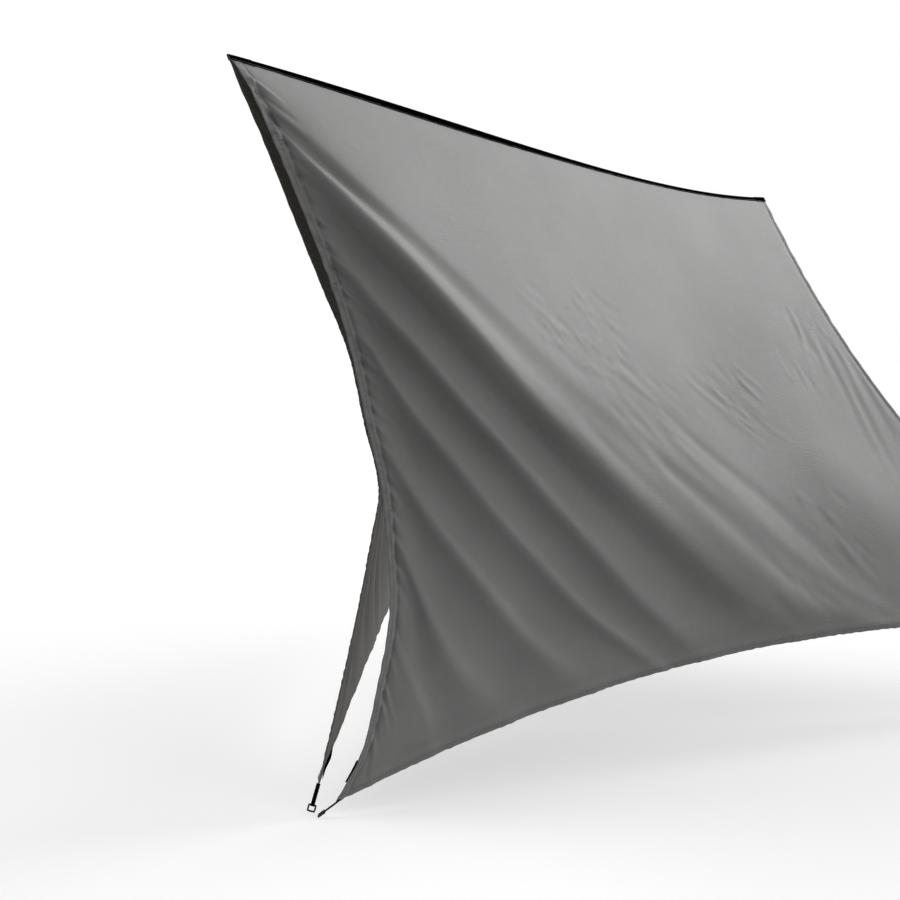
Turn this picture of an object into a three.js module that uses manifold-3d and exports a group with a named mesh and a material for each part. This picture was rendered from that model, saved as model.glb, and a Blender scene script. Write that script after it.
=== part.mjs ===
// Camping tarp pitched over a ridge line: two cloth panels joined along a taped ridge.
// One end is drawn in until its two lower corners meet, the other end is spread wide open.
// Millimetres, +Z up. The origin is the middle of the ridge line, on the top edge of the tarp.
// +X runs along the ridge to the open end, and -Y is the side of the front panel.

import * as THREE from 'three';
import { mergeVertices } from 'three/addons/utils/BufferGeometryUtils.js';
import Module from 'manifold-3d';

const wasm = await Module();
wasm.setup();

// ---------------------------------------------------------------- driving dimensions

const FRONT = -1;
const BACK = 1;
const GAP = 0.3;

// Cloth and its hem, and the grid that each panel is faceted on. Columns run from the closed end
// to the open end, crowded towards the closed end, and rows from the ridge to the hem.
const CLOTH = {
  thickness: 1.5,
  hemThickness: 2.4,
  hemWidth: 24,
  columns: 42,
  rows: 25,
  crowding: 1.35,
};

// Mean size of a panel along the ridge and down from it.
const PANEL_SIZE = { along: 3060, down: 2000 };

const RIDGE = {
  closedEnd: new THREE.Vector3(-1580, 0, 105),
  openEnd: new THREE.Vector3(1580, 0, -28),
  sag: 46,
  sagPeak: 0.66,
  seamHalfGap: 1.1,
};

// The lower corners of the closed end are pegged close together at this point.
const PEG = new THREE.Vector3(-1292, 0, -1787);

// End edge of the closed end, from the ridge (down 0) to the peg (down 1): how far the edge is
// drawn in along the ridge, and how far each panel stands off the middle plane.
const CLOSED_EDGE = [
  { down: 0.0, drawnIn: 0, front: 1.1, back: 1.1 },
  { down: 0.03, drawnIn: 42, front: 12, back: 12 },
  { down: 0.09, drawnIn: 110, front: 15, back: 15 },
  { down: 0.21, drawnIn: 228, front: 18, back: 18 },
  { down: 0.28, drawnIn: 293, front: 16, back: 16 },
  { down: 0.37, drawnIn: 366, front: 5, back: 5 },
  { down: 0.47, drawnIn: 406, front: 4, back: 4 },
  { down: 0.57, drawnIn: 446, front: 5, back: 5 },
  { down: 0.64, drawnIn: 418, front: 26, back: 25 },
  { down: 0.74, drawnIn: 356, front: 58, back: 46 },
  { down: 0.84, drawnIn: 265, front: 62, back: 54 },
  { down: 0.93, drawnIn: 163, front: 61, back: 50 },
  { down: 0.98, drawnIn: 88, front: 38, back: 36 },
];

// How far the open edge of a panel curves in along the ridge and towards the other panel, and
// the fraction of the way down where it does so most.
const OPEN_EDGE_CURVE = { along: 262, in: 45, peak: 0.534 };

// Each panel: how far down its closed edge ends, where its open corner hangs, how far its hem
// arches up and in between the corners, and how much of the twist between its two ends is taken
// up in one diagonal bend.
const PANELS = {
  [FRONT]: {
    name: 'front',
    side: FRONT,
    closedCornerDown: 0.989,
    openCorner: new THREE.Vector3(1366, -1358, -1544),
    hemArch: { up: 150, in: 70 },
    bend: 0.6,
  },
  [BACK]: {
    name: 'back',
    side: BACK,
    closedCornerDown: 0.9765,
    openCorner: new THREE.Vector3(1342, 1514, -1527),
    hemArch: { up: 130, in: 54 },
    bend: 0.4,
  },
};

// The diagonal bend runs from the closed end of the ridge to this fraction of the hem. It and
// the folds leave the closed end steeply and flatten out, as a power of the way along.
const BEND = { hemFraction: 0.6, softness: 0.07, curve: 0.72 };
const FOLD_CURVE = 0.82;

// Tension folds that fan out from the closed end of a panel, from the ridge to the hem.
// along: fraction from the closed end to the open end; down: fraction from ridge to hem.
// depth is outward where positive, width is half the fold's breadth at its middle.
const FOLDS = [
  { name: 'main crest', along: 0, down: 0.04, toAlong: 0.6, toDown: 1, depth: 15, width: 75 },
  { name: 'main trough', along: 0, down: 0.08, toAlong: 0.51, toDown: 1, depth: -26, width: 100 },
  { name: 'second crest', along: 0, down: 0.16, toAlong: 0.4, toDown: 0.89, depth: 15, width: 75 },
  { name: 'second trough', along: 0, down: 0.2, toAlong: 0.42, toDown: 0.98, depth: -17, width: 75 },
  { name: 'third crest', along: 0, down: 0.26, toAlong: 0.27, toDown: 0.76, depth: 11, width: 70 },
  { name: 'third trough', along: 0, down: 0.36, toAlong: 0.28, toDown: 0.84, depth: -13, width: 75 },
  { name: 'fourth trough', along: 0, down: 0.5, toAlong: 0.2, toDown: 0.89, depth: -9, width: 65 },
  { name: 'outer trough', along: 0.38, down: 0.64, toAlong: 0.62, toDown: 0.92, depth: -9, width: 65 },
  { name: 'outer crest', along: 0.42, down: 0.66, toAlong: 0.68, toDown: 0.95, depth: 8, width: 65 },
  { name: 'edge fold', along: 0.96, down: 0.34, toAlong: 0.84, toDown: 0.74, depth: 7, width: 60 },
];

// A fold swells to its depth near its start and fades to nothing at both ends, and every fold
// fades out over these fractions of the panel beside its edges.
const FOLD_SWELL = { skew: 0.6, fullness: 0.8 };
const FOLD_FADE = { edge: 0.06, hem: 0.08 };

const TAPE = { thickness: 1.2, crown: 1.2, standOff: 0.55 };

// Visible drop of the ridge tape on each side, along the ridge.
const TAPE_DROP = [
  { along: 0.0, drop: 8 },
  { along: 0.12, drop: 16 },
  { along: 0.3, drop: 22 },
  { along: 0.6, drop: 15 },
  { along: 1.0, drop: 13 },
];

const RIDGE_CAP = { length: 80, extraDrop: 3, thickness: 1.2 };

// Straps end in an eye. Each is butted to its panel, whose point is cut square tailCut in from
// the corner by a block of size cutBlock.
const STRAP = { width: 11, thickness: 2.4, tailCut: 13, cutBlock: 60, eyeWall: 1.2, eyeSegments: 12 };

const RING = {
  bar: 3.5,
  openingLength: 14,
  sideClearance: 2,
  cornerRadius: 3.5,
  innerRadius: 1,
  cornerSegments: 4,
};

// Corner fittings: which panel corner each strap is sewn to, the way the strap points, the way
// its flat side faces, and its length to the middle of its ring bar.
const CORNER_FITTINGS = [
  {
    name: 'front_closed',
    side: FRONT,
    along: 0,
    points: [-0.83, 0.34, -0.44],
    faces: [-0.04, 0.75, 0.66],
    length: 51,
  },
  {
    name: 'back_closed',
    side: BACK,
    along: 0,
    points: [-0.6, -0.13, -0.79],
    faces: [-0.77, -0.58, 0.26],
    length: 57,
  },
  {
    name: 'front_open',
    side: FRONT,
    along: 1,
    points: [0.62, -0.5, -0.6],
    faces: [0.1, -0.72, 0.69],
    length: 60,
  },
  {
    name: 'back_open',
    side: BACK,
    along: 1,
    points: [0.62, 0.52, -0.59],
    faces: [0.1, 0.72, 0.69],
    length: 60,
  },
];

// Edge tabs: short webbing strips sewn behind a hem, standing a little proud of it. The front
// one lies on the closed edge and the back one on the hem, both near the pegged corners.
const TAB = { thickness: 1.6, proud: 5, hidden: 10, steps: 6, standOff: 0.45 };
const FRONT_TAB = { down: 0.945, toDown: 0.973 };
const BACK_TAB = { along: 0.02, toAlong: 0.056 };

// ---------------------------------------------------------------- colours and materials

const FINISHES = {
  cloth: { color: 0x8a8c8c, roughness: 0.62 },
  webbing: { color: 0x141414, roughness: 0.8 },
  ring: { color: 0x0e0e0e, roughness: 0.45 },
};

function finish(name) {
  return new THREE.MeshStandardMaterial({ ...FINISHES[name], metalness: 0, side: THREE.DoubleSide });
}

// ---------------------------------------------------------------- curves

// Smooth value of one column of a table whose rows are ordered by their key column.
function tableValue(rows, keyColumn, column, at) {
  const last = rows.length - 1;
  let low = 0;
  while (low < last - 1 && rows[low + 1][keyColumn] < at) low += 1;
  const slopeOver = (i) => {
    const rise = rows[i + 1][column] - rows[i][column];
    return rise / (rows[i + 1][keyColumn] - rows[i][keyColumn]);
  };
  const slopeAt = (i) => {
    if (i === 0) return slopeOver(0);
    if (i === last) return slopeOver(last - 1);
    return (slopeOver(i - 1) + slopeOver(i)) / 2;
  };
  const span = rows[low + 1][keyColumn] - rows[low][keyColumn];
  const q = (at - rows[low][keyColumn]) / span;
  const q2 = q * q;
  const q3 = q2 * q;
  return (
    (2 * q3 - 3 * q2 + 1) * rows[low][column] +
    (q3 - 2 * q2 + q) * span * slopeAt(low) +
    (3 * q2 - 2 * q3) * rows[low + 1][column] +
    (q3 - q2) * span * slopeAt(low + 1)
  );
}

// A hump from 0 to 1 and back over the range 0 to 1, highest at the given peak.
function hump(t, peak = 0.5) {
  const clamped = Math.max(0, t);
  const warped = clamped ** (Math.log(0.5) / Math.log(peak));
  return 4 * warped * (1 - warped);
}

function ridgePoint(along, side) {
  const point = new THREE.Vector3().lerpVectors(RIDGE.closedEnd, RIDGE.openEnd, along);
  point.z -= RIDGE.sag * hump(along, RIDGE.sagPeak);
  point.y += side * RIDGE.seamHalfGap;
  return point;
}

function closedEdgePoint(panel, fraction) {
  const down = fraction * panel.closedCornerDown;
  const point = new THREE.Vector3().lerpVectors(RIDGE.closedEnd, PEG, down);
  point.x += tableValue(CLOSED_EDGE, 'down', 'drawnIn', down);
  point.y += panel.side * tableValue(CLOSED_EDGE, 'down', panel.name, down);
  return point;
}

function openEdgePoint(panel, fraction) {
  const point = new THREE.Vector3().lerpVectors(ridgePoint(1, panel.side), panel.openCorner, fraction);
  const bow = hump(fraction, OPEN_EDGE_CURVE.peak);
  point.x -= OPEN_EDGE_CURVE.along * bow;
  point.y -= panel.side * OPEN_EDGE_CURVE.in * bow;
  return point;
}

function hemPoint(panel, fraction) {
  const point = new THREE.Vector3().lerpVectors(closedEdgePoint(panel, 1), panel.openCorner, fraction);
  point.y -= panel.side * panel.hemArch.in * hump(fraction);
  point.z += panel.hemArch.up * hump(fraction);
  return point;
}

// ---------------------------------------------------------------- panel surface

// Surface that spans the four edges of a panel.
function spannedPoint(panel, along, down) {
  const side = panel.side;
  const point = new THREE.Vector3();
  point.addScaledVector(ridgePoint(along, side), 1 - down);
  point.addScaledVector(hemPoint(panel, along), down);
  point.addScaledVector(closedEdgePoint(panel, down), 1 - along);
  point.addScaledVector(openEdgePoint(panel, down), along);
  point.addScaledVector(ridgePoint(0, side), -(1 - along) * (1 - down));
  point.addScaledVector(ridgePoint(1, side), -along * (1 - down));
  point.addScaledVector(hemPoint(panel, 0), -(1 - along) * down);
  point.addScaledVector(hemPoint(panel, 1), -along * down);
  return point;
}

// Distance that one end of the panel is twisted out of line with the other.
function twistVector(panel) {
  return ridgePoint(0, panel.side)
    .sub(ridgePoint(1, panel.side))
    .sub(closedEdgePoint(panel, 1))
    .add(panel.openCorner);
}

function softMinimum(a, b) {
  return (a + b - Math.hypot(a - b, BEND.softness)) / 2;
}

// Share of the twist that the diagonal bend gives back: 0 on every edge, most on the diagonal.
function bendShare(along, down) {
  const way = Math.max(0, along) / BEND.hemFraction;
  const across = softMinimum(way ** BEND.curve, 1);
  return Math.max(0, softMinimum(across, down) - across * down);
}

// Height of one fold at a point of the panel, in millimetres.
function foldHeight(fold, along, down) {
  const q = (along - fold.along) / (fold.toAlong - fold.along);
  if (q <= 0 || q >= 1) return 0;
  const lineDown = fold.down + (fold.toDown - fold.down) * q ** FOLD_CURVE;
  const rise = (fold.toDown - fold.down) / (fold.toAlong - fold.along);
  const slope = (rise * PANEL_SIZE.down) / PANEL_SIZE.along;
  const offLine = ((down - lineDown) * PANEL_SIZE.down) / Math.hypot(1, slope);
  const strength = Math.sin(Math.PI * q ** FOLD_SWELL.skew) ** FOLD_SWELL.fullness;
  return fold.depth * strength * Math.exp(-((offLine / fold.width) ** 2));
}

function allFolds(along, down) {
  const nearEnd = Math.min(along, 1 - along, down) / FOLD_FADE.edge;
  const fade = Math.max(0, Math.min(1, nearEnd, (1 - down) / FOLD_FADE.hem));
  let height = 0;
  for (const fold of FOLDS) height += foldHeight(fold, along, down);
  return height * fade;
}

function smoothPoint(panel, along, down) {
  const point = spannedPoint(panel, along, down);
  return point.addScaledVector(twistVector(panel), panel.bend * bendShare(along, down));
}

// Step, as a fraction of the panel, over which a surface's slope is measured.
const PROBE = 0.002;

// Outward direction of a surface at a place of the panel.
function normalOf(pointAt, along, down, side) {
  const east = pointAt(along + PROBE, down).sub(pointAt(along - PROBE, down));
  const south = pointAt(along, down + PROBE).sub(pointAt(along, down - PROBE));
  return south.cross(east).multiplyScalar(-side).normalize();
}

// Middle surface of the cloth, with its folds.
function panelPoint(panel, along, down) {
  const smooth = (a, d) => smoothPoint(panel, a, d);
  const outward = normalOf(smooth, along, down, panel.side);
  return smooth(along, down).addScaledVector(outward, allFolds(along, down));
}

function panelNormal(panel, along, down) {
  return normalOf((a, d) => panelPoint(panel, a, d), along, down, panel.side);
}

// ---------------------------------------------------------------- solids

function geometryFrom(positions, indices) {
  const geometry = new THREE.BufferGeometry();
  geometry.setAttribute('position', new THREE.Float32BufferAttribute(positions, 3));
  geometry.setIndex(indices);
  geometry.computeVertexNormals();
  return geometry;
}

// Closed sheet between two faces: frontAt and backAt give the two sides of a grid of places.
function sheetGeometry(columns, rows, frontAt, backAt, flip) {
  const positions = [];
  for (const faceAt of [frontAt, backAt]) {
    for (let r = 0; r <= rows; r += 1) {
      for (let c = 0; c <= columns; c += 1) positions.push(...faceAt(c, r).toArray());
    }
  }
  const layer = (columns + 1) * (rows + 1);
  const at = (c, r, face) => face * layer + r * (columns + 1) + c;
  const indices = [];
  const quad = (a, b, c, d) => {
    if (flip) indices.push(a, c, b, a, d, c);
    else indices.push(a, b, c, a, c, d);
  };
  for (let r = 0; r < rows; r += 1) {
    for (let c = 0; c < columns; c += 1) {
      quad(at(c, r, 0), at(c, r + 1, 0), at(c + 1, r + 1, 0), at(c + 1, r, 0));
      quad(at(c, r, 1), at(c + 1, r, 1), at(c + 1, r + 1, 1), at(c, r + 1, 1));
    }
  }
  for (let c = 0; c < columns; c += 1) {
    quad(at(c, 0, 0), at(c + 1, 0, 0), at(c + 1, 0, 1), at(c, 0, 1));
    quad(at(c + 1, rows, 0), at(c, rows, 0), at(c, rows, 1), at(c + 1, rows, 1));
  }
  for (let r = 0; r < rows; r += 1) {
    quad(at(0, r + 1, 0), at(0, r, 0), at(0, r, 1), at(0, r + 1, 1));
    quad(at(columns, r, 0), at(columns, r + 1, 0), at(columns, r + 1, 1), at(columns, r, 1));
  }
  return geometryFrom(positions, indices);
}

const MERGE_DISTANCE = 0.001;

function toSolid(geometry) {
  const bare = geometry.clone();
  bare.deleteAttribute('normal');
  if (bare.attributes.uv) bare.deleteAttribute('uv');
  const merged = mergeVertices(bare, MERGE_DISTANCE);
  const mesh = new wasm.Mesh({
    numProp: 3,
    vertProperties: new Float32Array(merged.attributes.position.array),
    triVerts: new Uint32Array(merged.index.array),
  });
  return new wasm.Manifold(mesh);
}

function fromSolid(solid) {
  const mesh = solid.getMesh();
  return geometryFrom(Array.from(mesh.vertProperties), Array.from(mesh.triVerts));
}

function addMesh(group, name, geometry, material) {
  const mesh = new THREE.Mesh(geometry, material);
  mesh.name = name;
  group.add(mesh);
  return mesh;
}

// ---------------------------------------------------------------- cloth panels

// Fractions of the grid lines of a panel: one line at the hem width from each end, the rest
// crowded towards the closed end, where the folds are.
function gridLines(count, length, crowding) {
  const hem = CLOTH.hemWidth / length;
  const lines = [0];
  for (let i = 0; i <= count - 2; i += 1) {
    lines.push(hem + (1 - 2 * hem) * (i / (count - 2)) ** crowding);
  }
  lines.push(1);
  return lines;
}

const COLUMN_LINES = gridLines(CLOTH.columns, PANEL_SIZE.along, CLOTH.crowding);
const ROW_LINES = gridLines(CLOTH.rows, PANEL_SIZE.down, 1);

// Half thickness of the cloth: doubled over in the hem, except along the ridge seam.
function halfThickness(column, row) {
  const inHem = column <= 1 || column >= CLOTH.columns - 1 || row >= CLOTH.rows - 1;
  const underTape = row <= 1;
  return (inHem && !underTape ? CLOTH.hemThickness : CLOTH.thickness) / 2;
}

function panelSolid(panel) {
  const faceAt = (direction) => (column, row) => {
    const along = COLUMN_LINES[column];
    const down = ROW_LINES[row];
    const offset = direction * halfThickness(column, row);
    return panelPoint(panel, along, down).addScaledVector(panelNormal(panel, along, down), offset);
  };
  const flip = panel.side === BACK;
  return toSolid(sheetGeometry(CLOTH.columns, CLOTH.rows, faceAt(1), faceAt(-1), flip));
}

// ---------------------------------------------------------------- corner fittings

// Place of a corner fitting: its X axis runs out along the strap, Y through its thickness and Z
// across its width, from the middle of the square cut at the panel's corner.
function fittingPlace(fitting) {
  const panel = PANELS[fitting.side];
  const corner = panelPoint(panel, fitting.along, 1);
  const out = new THREE.Vector3(...fitting.points).normalize();
  const across = new THREE.Vector3(...fitting.faces).cross(out).normalize();
  const through = new THREE.Vector3().crossVectors(across, out);
  const placing = new THREE.Matrix4().makeBasis(out, through, across);
  placing.setPosition(corner.addScaledVector(out, -STRAP.tailCut));
  return placing;
}

// Block that cuts a panel's point square where the strap is sewn to it.
function cornerCutter(place) {
  const block = new THREE.BoxGeometry(STRAP.cutBlock, STRAP.cutBlock, STRAP.cutBlock);
  block.translate(STRAP.cutBlock / 2, 0, 0);
  block.applyMatrix4(place);
  return toSolid(block);
}

function strapGeometry(fitting) {
  const barReach = (RING.bar * Math.SQRT2) / 2;
  const eyeInner = (barReach + GAP) / Math.cos(Math.PI / STRAP.eyeSegments);
  const eyeOuter = eyeInner + STRAP.eyeWall;
  const half = STRAP.thickness / 2;
  const neck = Math.asin(half / eyeOuter);
  const outline = new THREE.Shape();
  outline.moveTo(GAP, -half);
  outline.absarc(fitting.length, 0, eyeOuter, -Math.PI + neck, Math.PI - neck, false);
  outline.lineTo(GAP, half);
  outline.closePath();
  const eye = new THREE.Path();
  eye.absarc(fitting.length, 0, eyeInner, 0, Math.PI * 2, true);
  outline.holes.push(eye);
  const strap = new THREE.ExtrudeGeometry(outline, {
    depth: STRAP.width,
    bevelEnabled: false,
    curveSegments: STRAP.eyeSegments,
  });
  strap.translate(0, 0, -STRAP.width / 2);
  return strap;
}

function roundedRectangle(path, x0, x1, halfWidth, radius) {
  path.moveTo(x0 + radius, -halfWidth);
  path.lineTo(x1 - radius, -halfWidth);
  path.absarc(x1 - radius, -halfWidth + radius, radius, -Math.PI / 2, 0, false);
  path.lineTo(x1, halfWidth - radius);
  path.absarc(x1 - radius, halfWidth - radius, radius, 0, Math.PI / 2, false);
  path.lineTo(x0 + radius, halfWidth);
  path.absarc(x0 + radius, halfWidth - radius, radius, Math.PI / 2, Math.PI, false);
  path.lineTo(x0, -halfWidth + radius);
  path.absarc(x0 + radius, -halfWidth + radius, radius, Math.PI, Math.PI * 1.5, false);
  return path;
}

// Rectangular ring lying flat in the plane of its strap, one bar through the strap's eye.
function ringGeometry(fitting) {
  const start = fitting.length - RING.bar / 2;
  const end = start + RING.openingLength + 2 * RING.bar;
  const innerHalf = STRAP.width / 2 + RING.sideClearance;
  const outerHalf = innerHalf + RING.bar;
  const outline = roundedRectangle(new THREE.Shape(), start, end, outerHalf, RING.cornerRadius);
  const holeStart = start + RING.bar;
  const holeEnd = end - RING.bar;
  outline.holes.push(
    roundedRectangle(new THREE.Path(), holeStart, holeEnd, innerHalf, RING.innerRadius),
  );
  const ring = new THREE.ExtrudeGeometry(outline, {
    depth: RING.bar,
    bevelEnabled: false,
    curveSegments: RING.cornerSegments,
  });
  ring.translate(0, 0, -RING.bar / 2);
  ring.rotateX(Math.PI / 2);
  return ring;
}

// ---------------------------------------------------------------- pieces that lie on the cloth

// Place on a face of the faceted cloth, standing off it: direction is 1 for the outside and -1
// for the inside. Beyond an edge the last facet is carried on.
function onCloth(panel, along, down, direction, standOff) {
  const cellOf = (lines, at) => {
    let low = 0;
    while (low < lines.length - 2 && lines[low + 1] < at) low += 1;
    return { low, share: (at - lines[low]) / (lines[low + 1] - lines[low]) };
  };
  const column = cellOf(COLUMN_LINES, along);
  const row = cellOf(ROW_LINES, down);
  const point = new THREE.Vector3();
  for (const [c, columnShare] of [[column.low, 1 - column.share], [column.low + 1, column.share]]) {
    for (const [r, rowShare] of [[row.low, 1 - row.share], [row.low + 1, row.share]]) {
      const normal = panelNormal(panel, COLUMN_LINES[c], ROW_LINES[r]);
      const offset = direction * (halfThickness(c, r) + standOff);
      const corner = panelPoint(panel, COLUMN_LINES[c], ROW_LINES[r]).addScaledVector(normal, offset);
      point.addScaledVector(corner, columnShare * rowShare);
    }
  }
  return point;
}

// Strip folded over the ridge: a bent band with a flat crown, with a section at each fraction
// of the ridge in the list.
function foldedStrip(fractions, dropAt, standOff, crownLift, thickness) {
  const beside = (panel, along, drop, off) => onCloth(panel, along, drop / PANEL_SIZE.down, 1, off);
  const raised = (point, lift) => point.setZ(point.z + lift);
  const sectionAt = (along) => {
    const drop = dropAt(along);
    const outer = standOff + thickness;
    const front = PANELS[FRONT];
    const back = PANELS[BACK];
    return [
      beside(front, along, drop, outer),
      raised(beside(front, along, 0, outer), crownLift + thickness),
      raised(beside(back, along, 0, outer), crownLift + thickness),
      beside(back, along, drop, outer),
      beside(back, along, drop, standOff),
      raised(beside(back, along, 0, standOff), crownLift),
      raised(beside(front, along, 0, standOff), crownLift),
      beside(front, along, drop, standOff),
    ];
  };
  const positions = fractions.flatMap((along) => sectionAt(along).flatMap((point) => point.toArray()));
  const sides = 8;
  const indices = [];
  const quad = (p, q, r, t) => indices.push(p, q, r, p, r, t);
  for (let s = 0; s < fractions.length - 1; s += 1) {
    for (let i = 0; i < sides; i += 1) {
      const a = s * sides + i;
      const b = s * sides + ((i + 1) % sides);
      quad(a, a + sides, b + sides, b);
    }
  }
  const last = (fractions.length - 1) * sides;
  for (const [a, b, c, d] of [[0, 1, 6, 7], [1, 2, 5, 6], [2, 3, 4, 5]]) {
    quad(a, b, c, d);
    quad(last + d, last + c, last + b, last + a);
  }
  return geometryFrom(positions, indices);
}

// Webbing strip behind an edge of a panel: placeAt gives the panel fractions of a place from the
// start (0) to the end (1) of the strip and a distance in from the edge.
function tabGeometry(panel, placeAt, flip) {
  const faceAt = (offset) => (column, row) => {
    const inward = column === 0 ? -TAB.proud : TAB.hidden;
    const [along, down] = placeAt(row / TAB.steps, inward);
    return onCloth(panel, along, down, -1, offset);
  };
  const outer = faceAt(TAB.standOff);
  const inner = faceAt(TAB.standOff + TAB.thickness);
  return sheetGeometry(1, TAB.steps, outer, inner, flip);
}

// ---------------------------------------------------------------- the tarp

const tarp = new THREE.Group();
tarp.name = 'tarp';

const cutters = { [FRONT]: [], [BACK]: [] };

for (const fitting of CORNER_FITTINGS) {
  const place = fittingPlace(fitting);
  cutters[fitting.side].push(cornerCutter(place));
  const strap = addMesh(tarp, `strap_${fitting.name}`, strapGeometry(fitting), finish('webbing'));
  strap.applyMatrix4(place);
  const ring = addMesh(tarp, `ring_${fitting.name}`, ringGeometry(fitting), finish('ring'));
  ring.applyMatrix4(place);
}

for (const panel of Object.values(PANELS)) {
  let cloth = panelSolid(panel);
  for (const cutter of cutters[panel.side]) cloth = cloth.subtract(cutter);
  addMesh(tarp, `${panel.name}_panel`, fromSolid(cloth), finish('cloth'));
}

const tapeDrop = (along) => tableValue(TAPE_DROP, 'along', 'drop', along);
const tape = foldedStrip(COLUMN_LINES, tapeDrop, TAPE.standOff, TAPE.crown, TAPE.thickness);
addMesh(tarp, 'ridge_tape', tape, finish('webbing'));

const capStandOff = TAPE.standOff + TAPE.thickness + GAP;
const capCrown = TAPE.crown + TAPE.thickness + GAP;
const capDrop = (along) => tapeDrop(along) + RIDGE_CAP.extraDrop;
const capShare = RIDGE_CAP.length / PANEL_SIZE.along;
const CAP_ENDS = {
  closed: [...COLUMN_LINES.filter((along) => along < capShare), capShare],
  open: [1 - capShare, ...COLUMN_LINES.filter((along) => along > 1 - capShare)],
};
for (const [name, fractions] of Object.entries(CAP_ENDS)) {
  const cap = foldedStrip(fractions, capDrop, capStandOff, capCrown, RIDGE_CAP.thickness);
  addMesh(tarp, `ridge_cap_${name}`, cap, finish('webbing'));
}

const frontTab = (t, inward) => {
  const down = FRONT_TAB.down + (FRONT_TAB.toDown - FRONT_TAB.down) * t;
  return [inward / PANEL_SIZE.along, down];
};
addMesh(tarp, 'tab_front', tabGeometry(PANELS[FRONT], frontTab, false), finish('webbing'));

const backTab = (t, inward) => {
  const along = BACK_TAB.along + (BACK_TAB.toAlong - BACK_TAB.along) * t;
  return [along, 1 - inward / PANEL_SIZE.down];
};
addMesh(tarp, 'tab_back', tabGeometry(PANELS[BACK], backTab, true), finish('webbing'));

export default tarp;
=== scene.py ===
"""Camping tarp pitched over a ridge line: one end drawn in to a peg, the other spread wide open.

Two panels of coated cloth hang from a taped ridge. Metres, +Z up. The origin is the middle of the
ridge line, +X runs along the ridge to the open end and -Y is the side of the front panel.
A place on a panel is given by two fractions: along, from the closed end (0) to the open end (1),
and down, from the ridge (0) to the hem (1).
"""

import logging
import math
from dataclasses import dataclass, field
from enum import Enum
from typing import Callable, Optional, Sequence

import bmesh
import bpy
import numpy as np
from bpy.types import ID, Material, Mesh, Node, NodeSocket, NodeTree, Object
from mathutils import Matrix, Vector


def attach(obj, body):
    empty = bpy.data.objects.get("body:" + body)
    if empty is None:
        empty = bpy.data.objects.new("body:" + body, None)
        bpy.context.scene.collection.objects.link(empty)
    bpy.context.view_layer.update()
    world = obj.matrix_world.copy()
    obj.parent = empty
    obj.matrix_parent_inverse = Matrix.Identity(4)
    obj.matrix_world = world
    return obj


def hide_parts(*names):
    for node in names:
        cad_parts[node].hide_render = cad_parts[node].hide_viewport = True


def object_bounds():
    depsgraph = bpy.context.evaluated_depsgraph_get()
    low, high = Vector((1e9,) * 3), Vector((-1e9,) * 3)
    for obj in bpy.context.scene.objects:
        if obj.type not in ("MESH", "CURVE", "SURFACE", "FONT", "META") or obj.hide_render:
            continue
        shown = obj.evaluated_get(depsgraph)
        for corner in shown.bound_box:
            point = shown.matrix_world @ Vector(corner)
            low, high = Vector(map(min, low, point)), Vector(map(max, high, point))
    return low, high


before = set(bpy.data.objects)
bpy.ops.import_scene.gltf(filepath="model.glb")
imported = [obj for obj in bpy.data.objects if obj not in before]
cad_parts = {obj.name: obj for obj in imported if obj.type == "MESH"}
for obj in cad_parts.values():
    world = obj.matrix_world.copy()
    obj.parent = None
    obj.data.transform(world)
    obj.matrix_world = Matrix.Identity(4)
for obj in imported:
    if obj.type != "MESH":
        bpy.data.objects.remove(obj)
CAD_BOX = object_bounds()

MM = 0.001
PANEL_ALONG = 3.06
PANEL_DOWN = 2.0

Array = np.ndarray
Pair = tuple[Array, Array]
Triple = tuple[float, float, float]

log = logging.getLogger("tarp")


class Side(Enum):
    """The two panels, by the side of the ridge that they hang on."""

    FRONT = -1
    BACK = 1


class Edge(Enum):
    """The three free edges of a panel."""

    CLOSED = "closed"
    LOWER = "lower"
    OPEN = "open"

    def place(self, run: Array, inward: Array) -> Pair:
        """Finds a place beside the edge.

        Args:
            run: Fraction of the way along the edge.
            inward: Distance in from the edge, in metres.

        Returns:
            The panel's two fractions there.
        """
        if self is Edge.LOWER:
            return run, 1 - inward / PANEL_DOWN
        beside = inward / PANEL_ALONG
        return (beside if self is Edge.CLOSED else 1 - beside), run


# ------------------------------------------------------------------ curves


@dataclass(frozen=True)
class EdgeRow:
    """One place on the closed end edge, in millimetres.

    down is the fraction of the way from the ridge to the peg, drawn_in how far the edge is drawn
    in along the ridge, and front and back how far each panel stands off the middle plane.
    """

    down: float
    drawn_in: float
    front: float
    back: float


# down, drawn_in, front, back
CLOSED_EDGE = (
    EdgeRow(0.0, 0, 1.1, 1.1),
    EdgeRow(0.03, 42, 12, 12),
    EdgeRow(0.09, 110, 15, 15),
    EdgeRow(0.21, 228, 18, 18),
    EdgeRow(0.28, 293, 16, 16),
    EdgeRow(0.37, 366, 5, 5),
    EdgeRow(0.47, 406, 4, 4),
    EdgeRow(0.57, 446, 5, 5),
    EdgeRow(0.64, 418, 26, 25),
    EdgeRow(0.74, 356, 58, 46),
    EdgeRow(0.84, 265, 62, 54),
    EdgeRow(0.93, 163, 61, 50),
    EdgeRow(0.98, 88, 38, 36),
)


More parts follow.
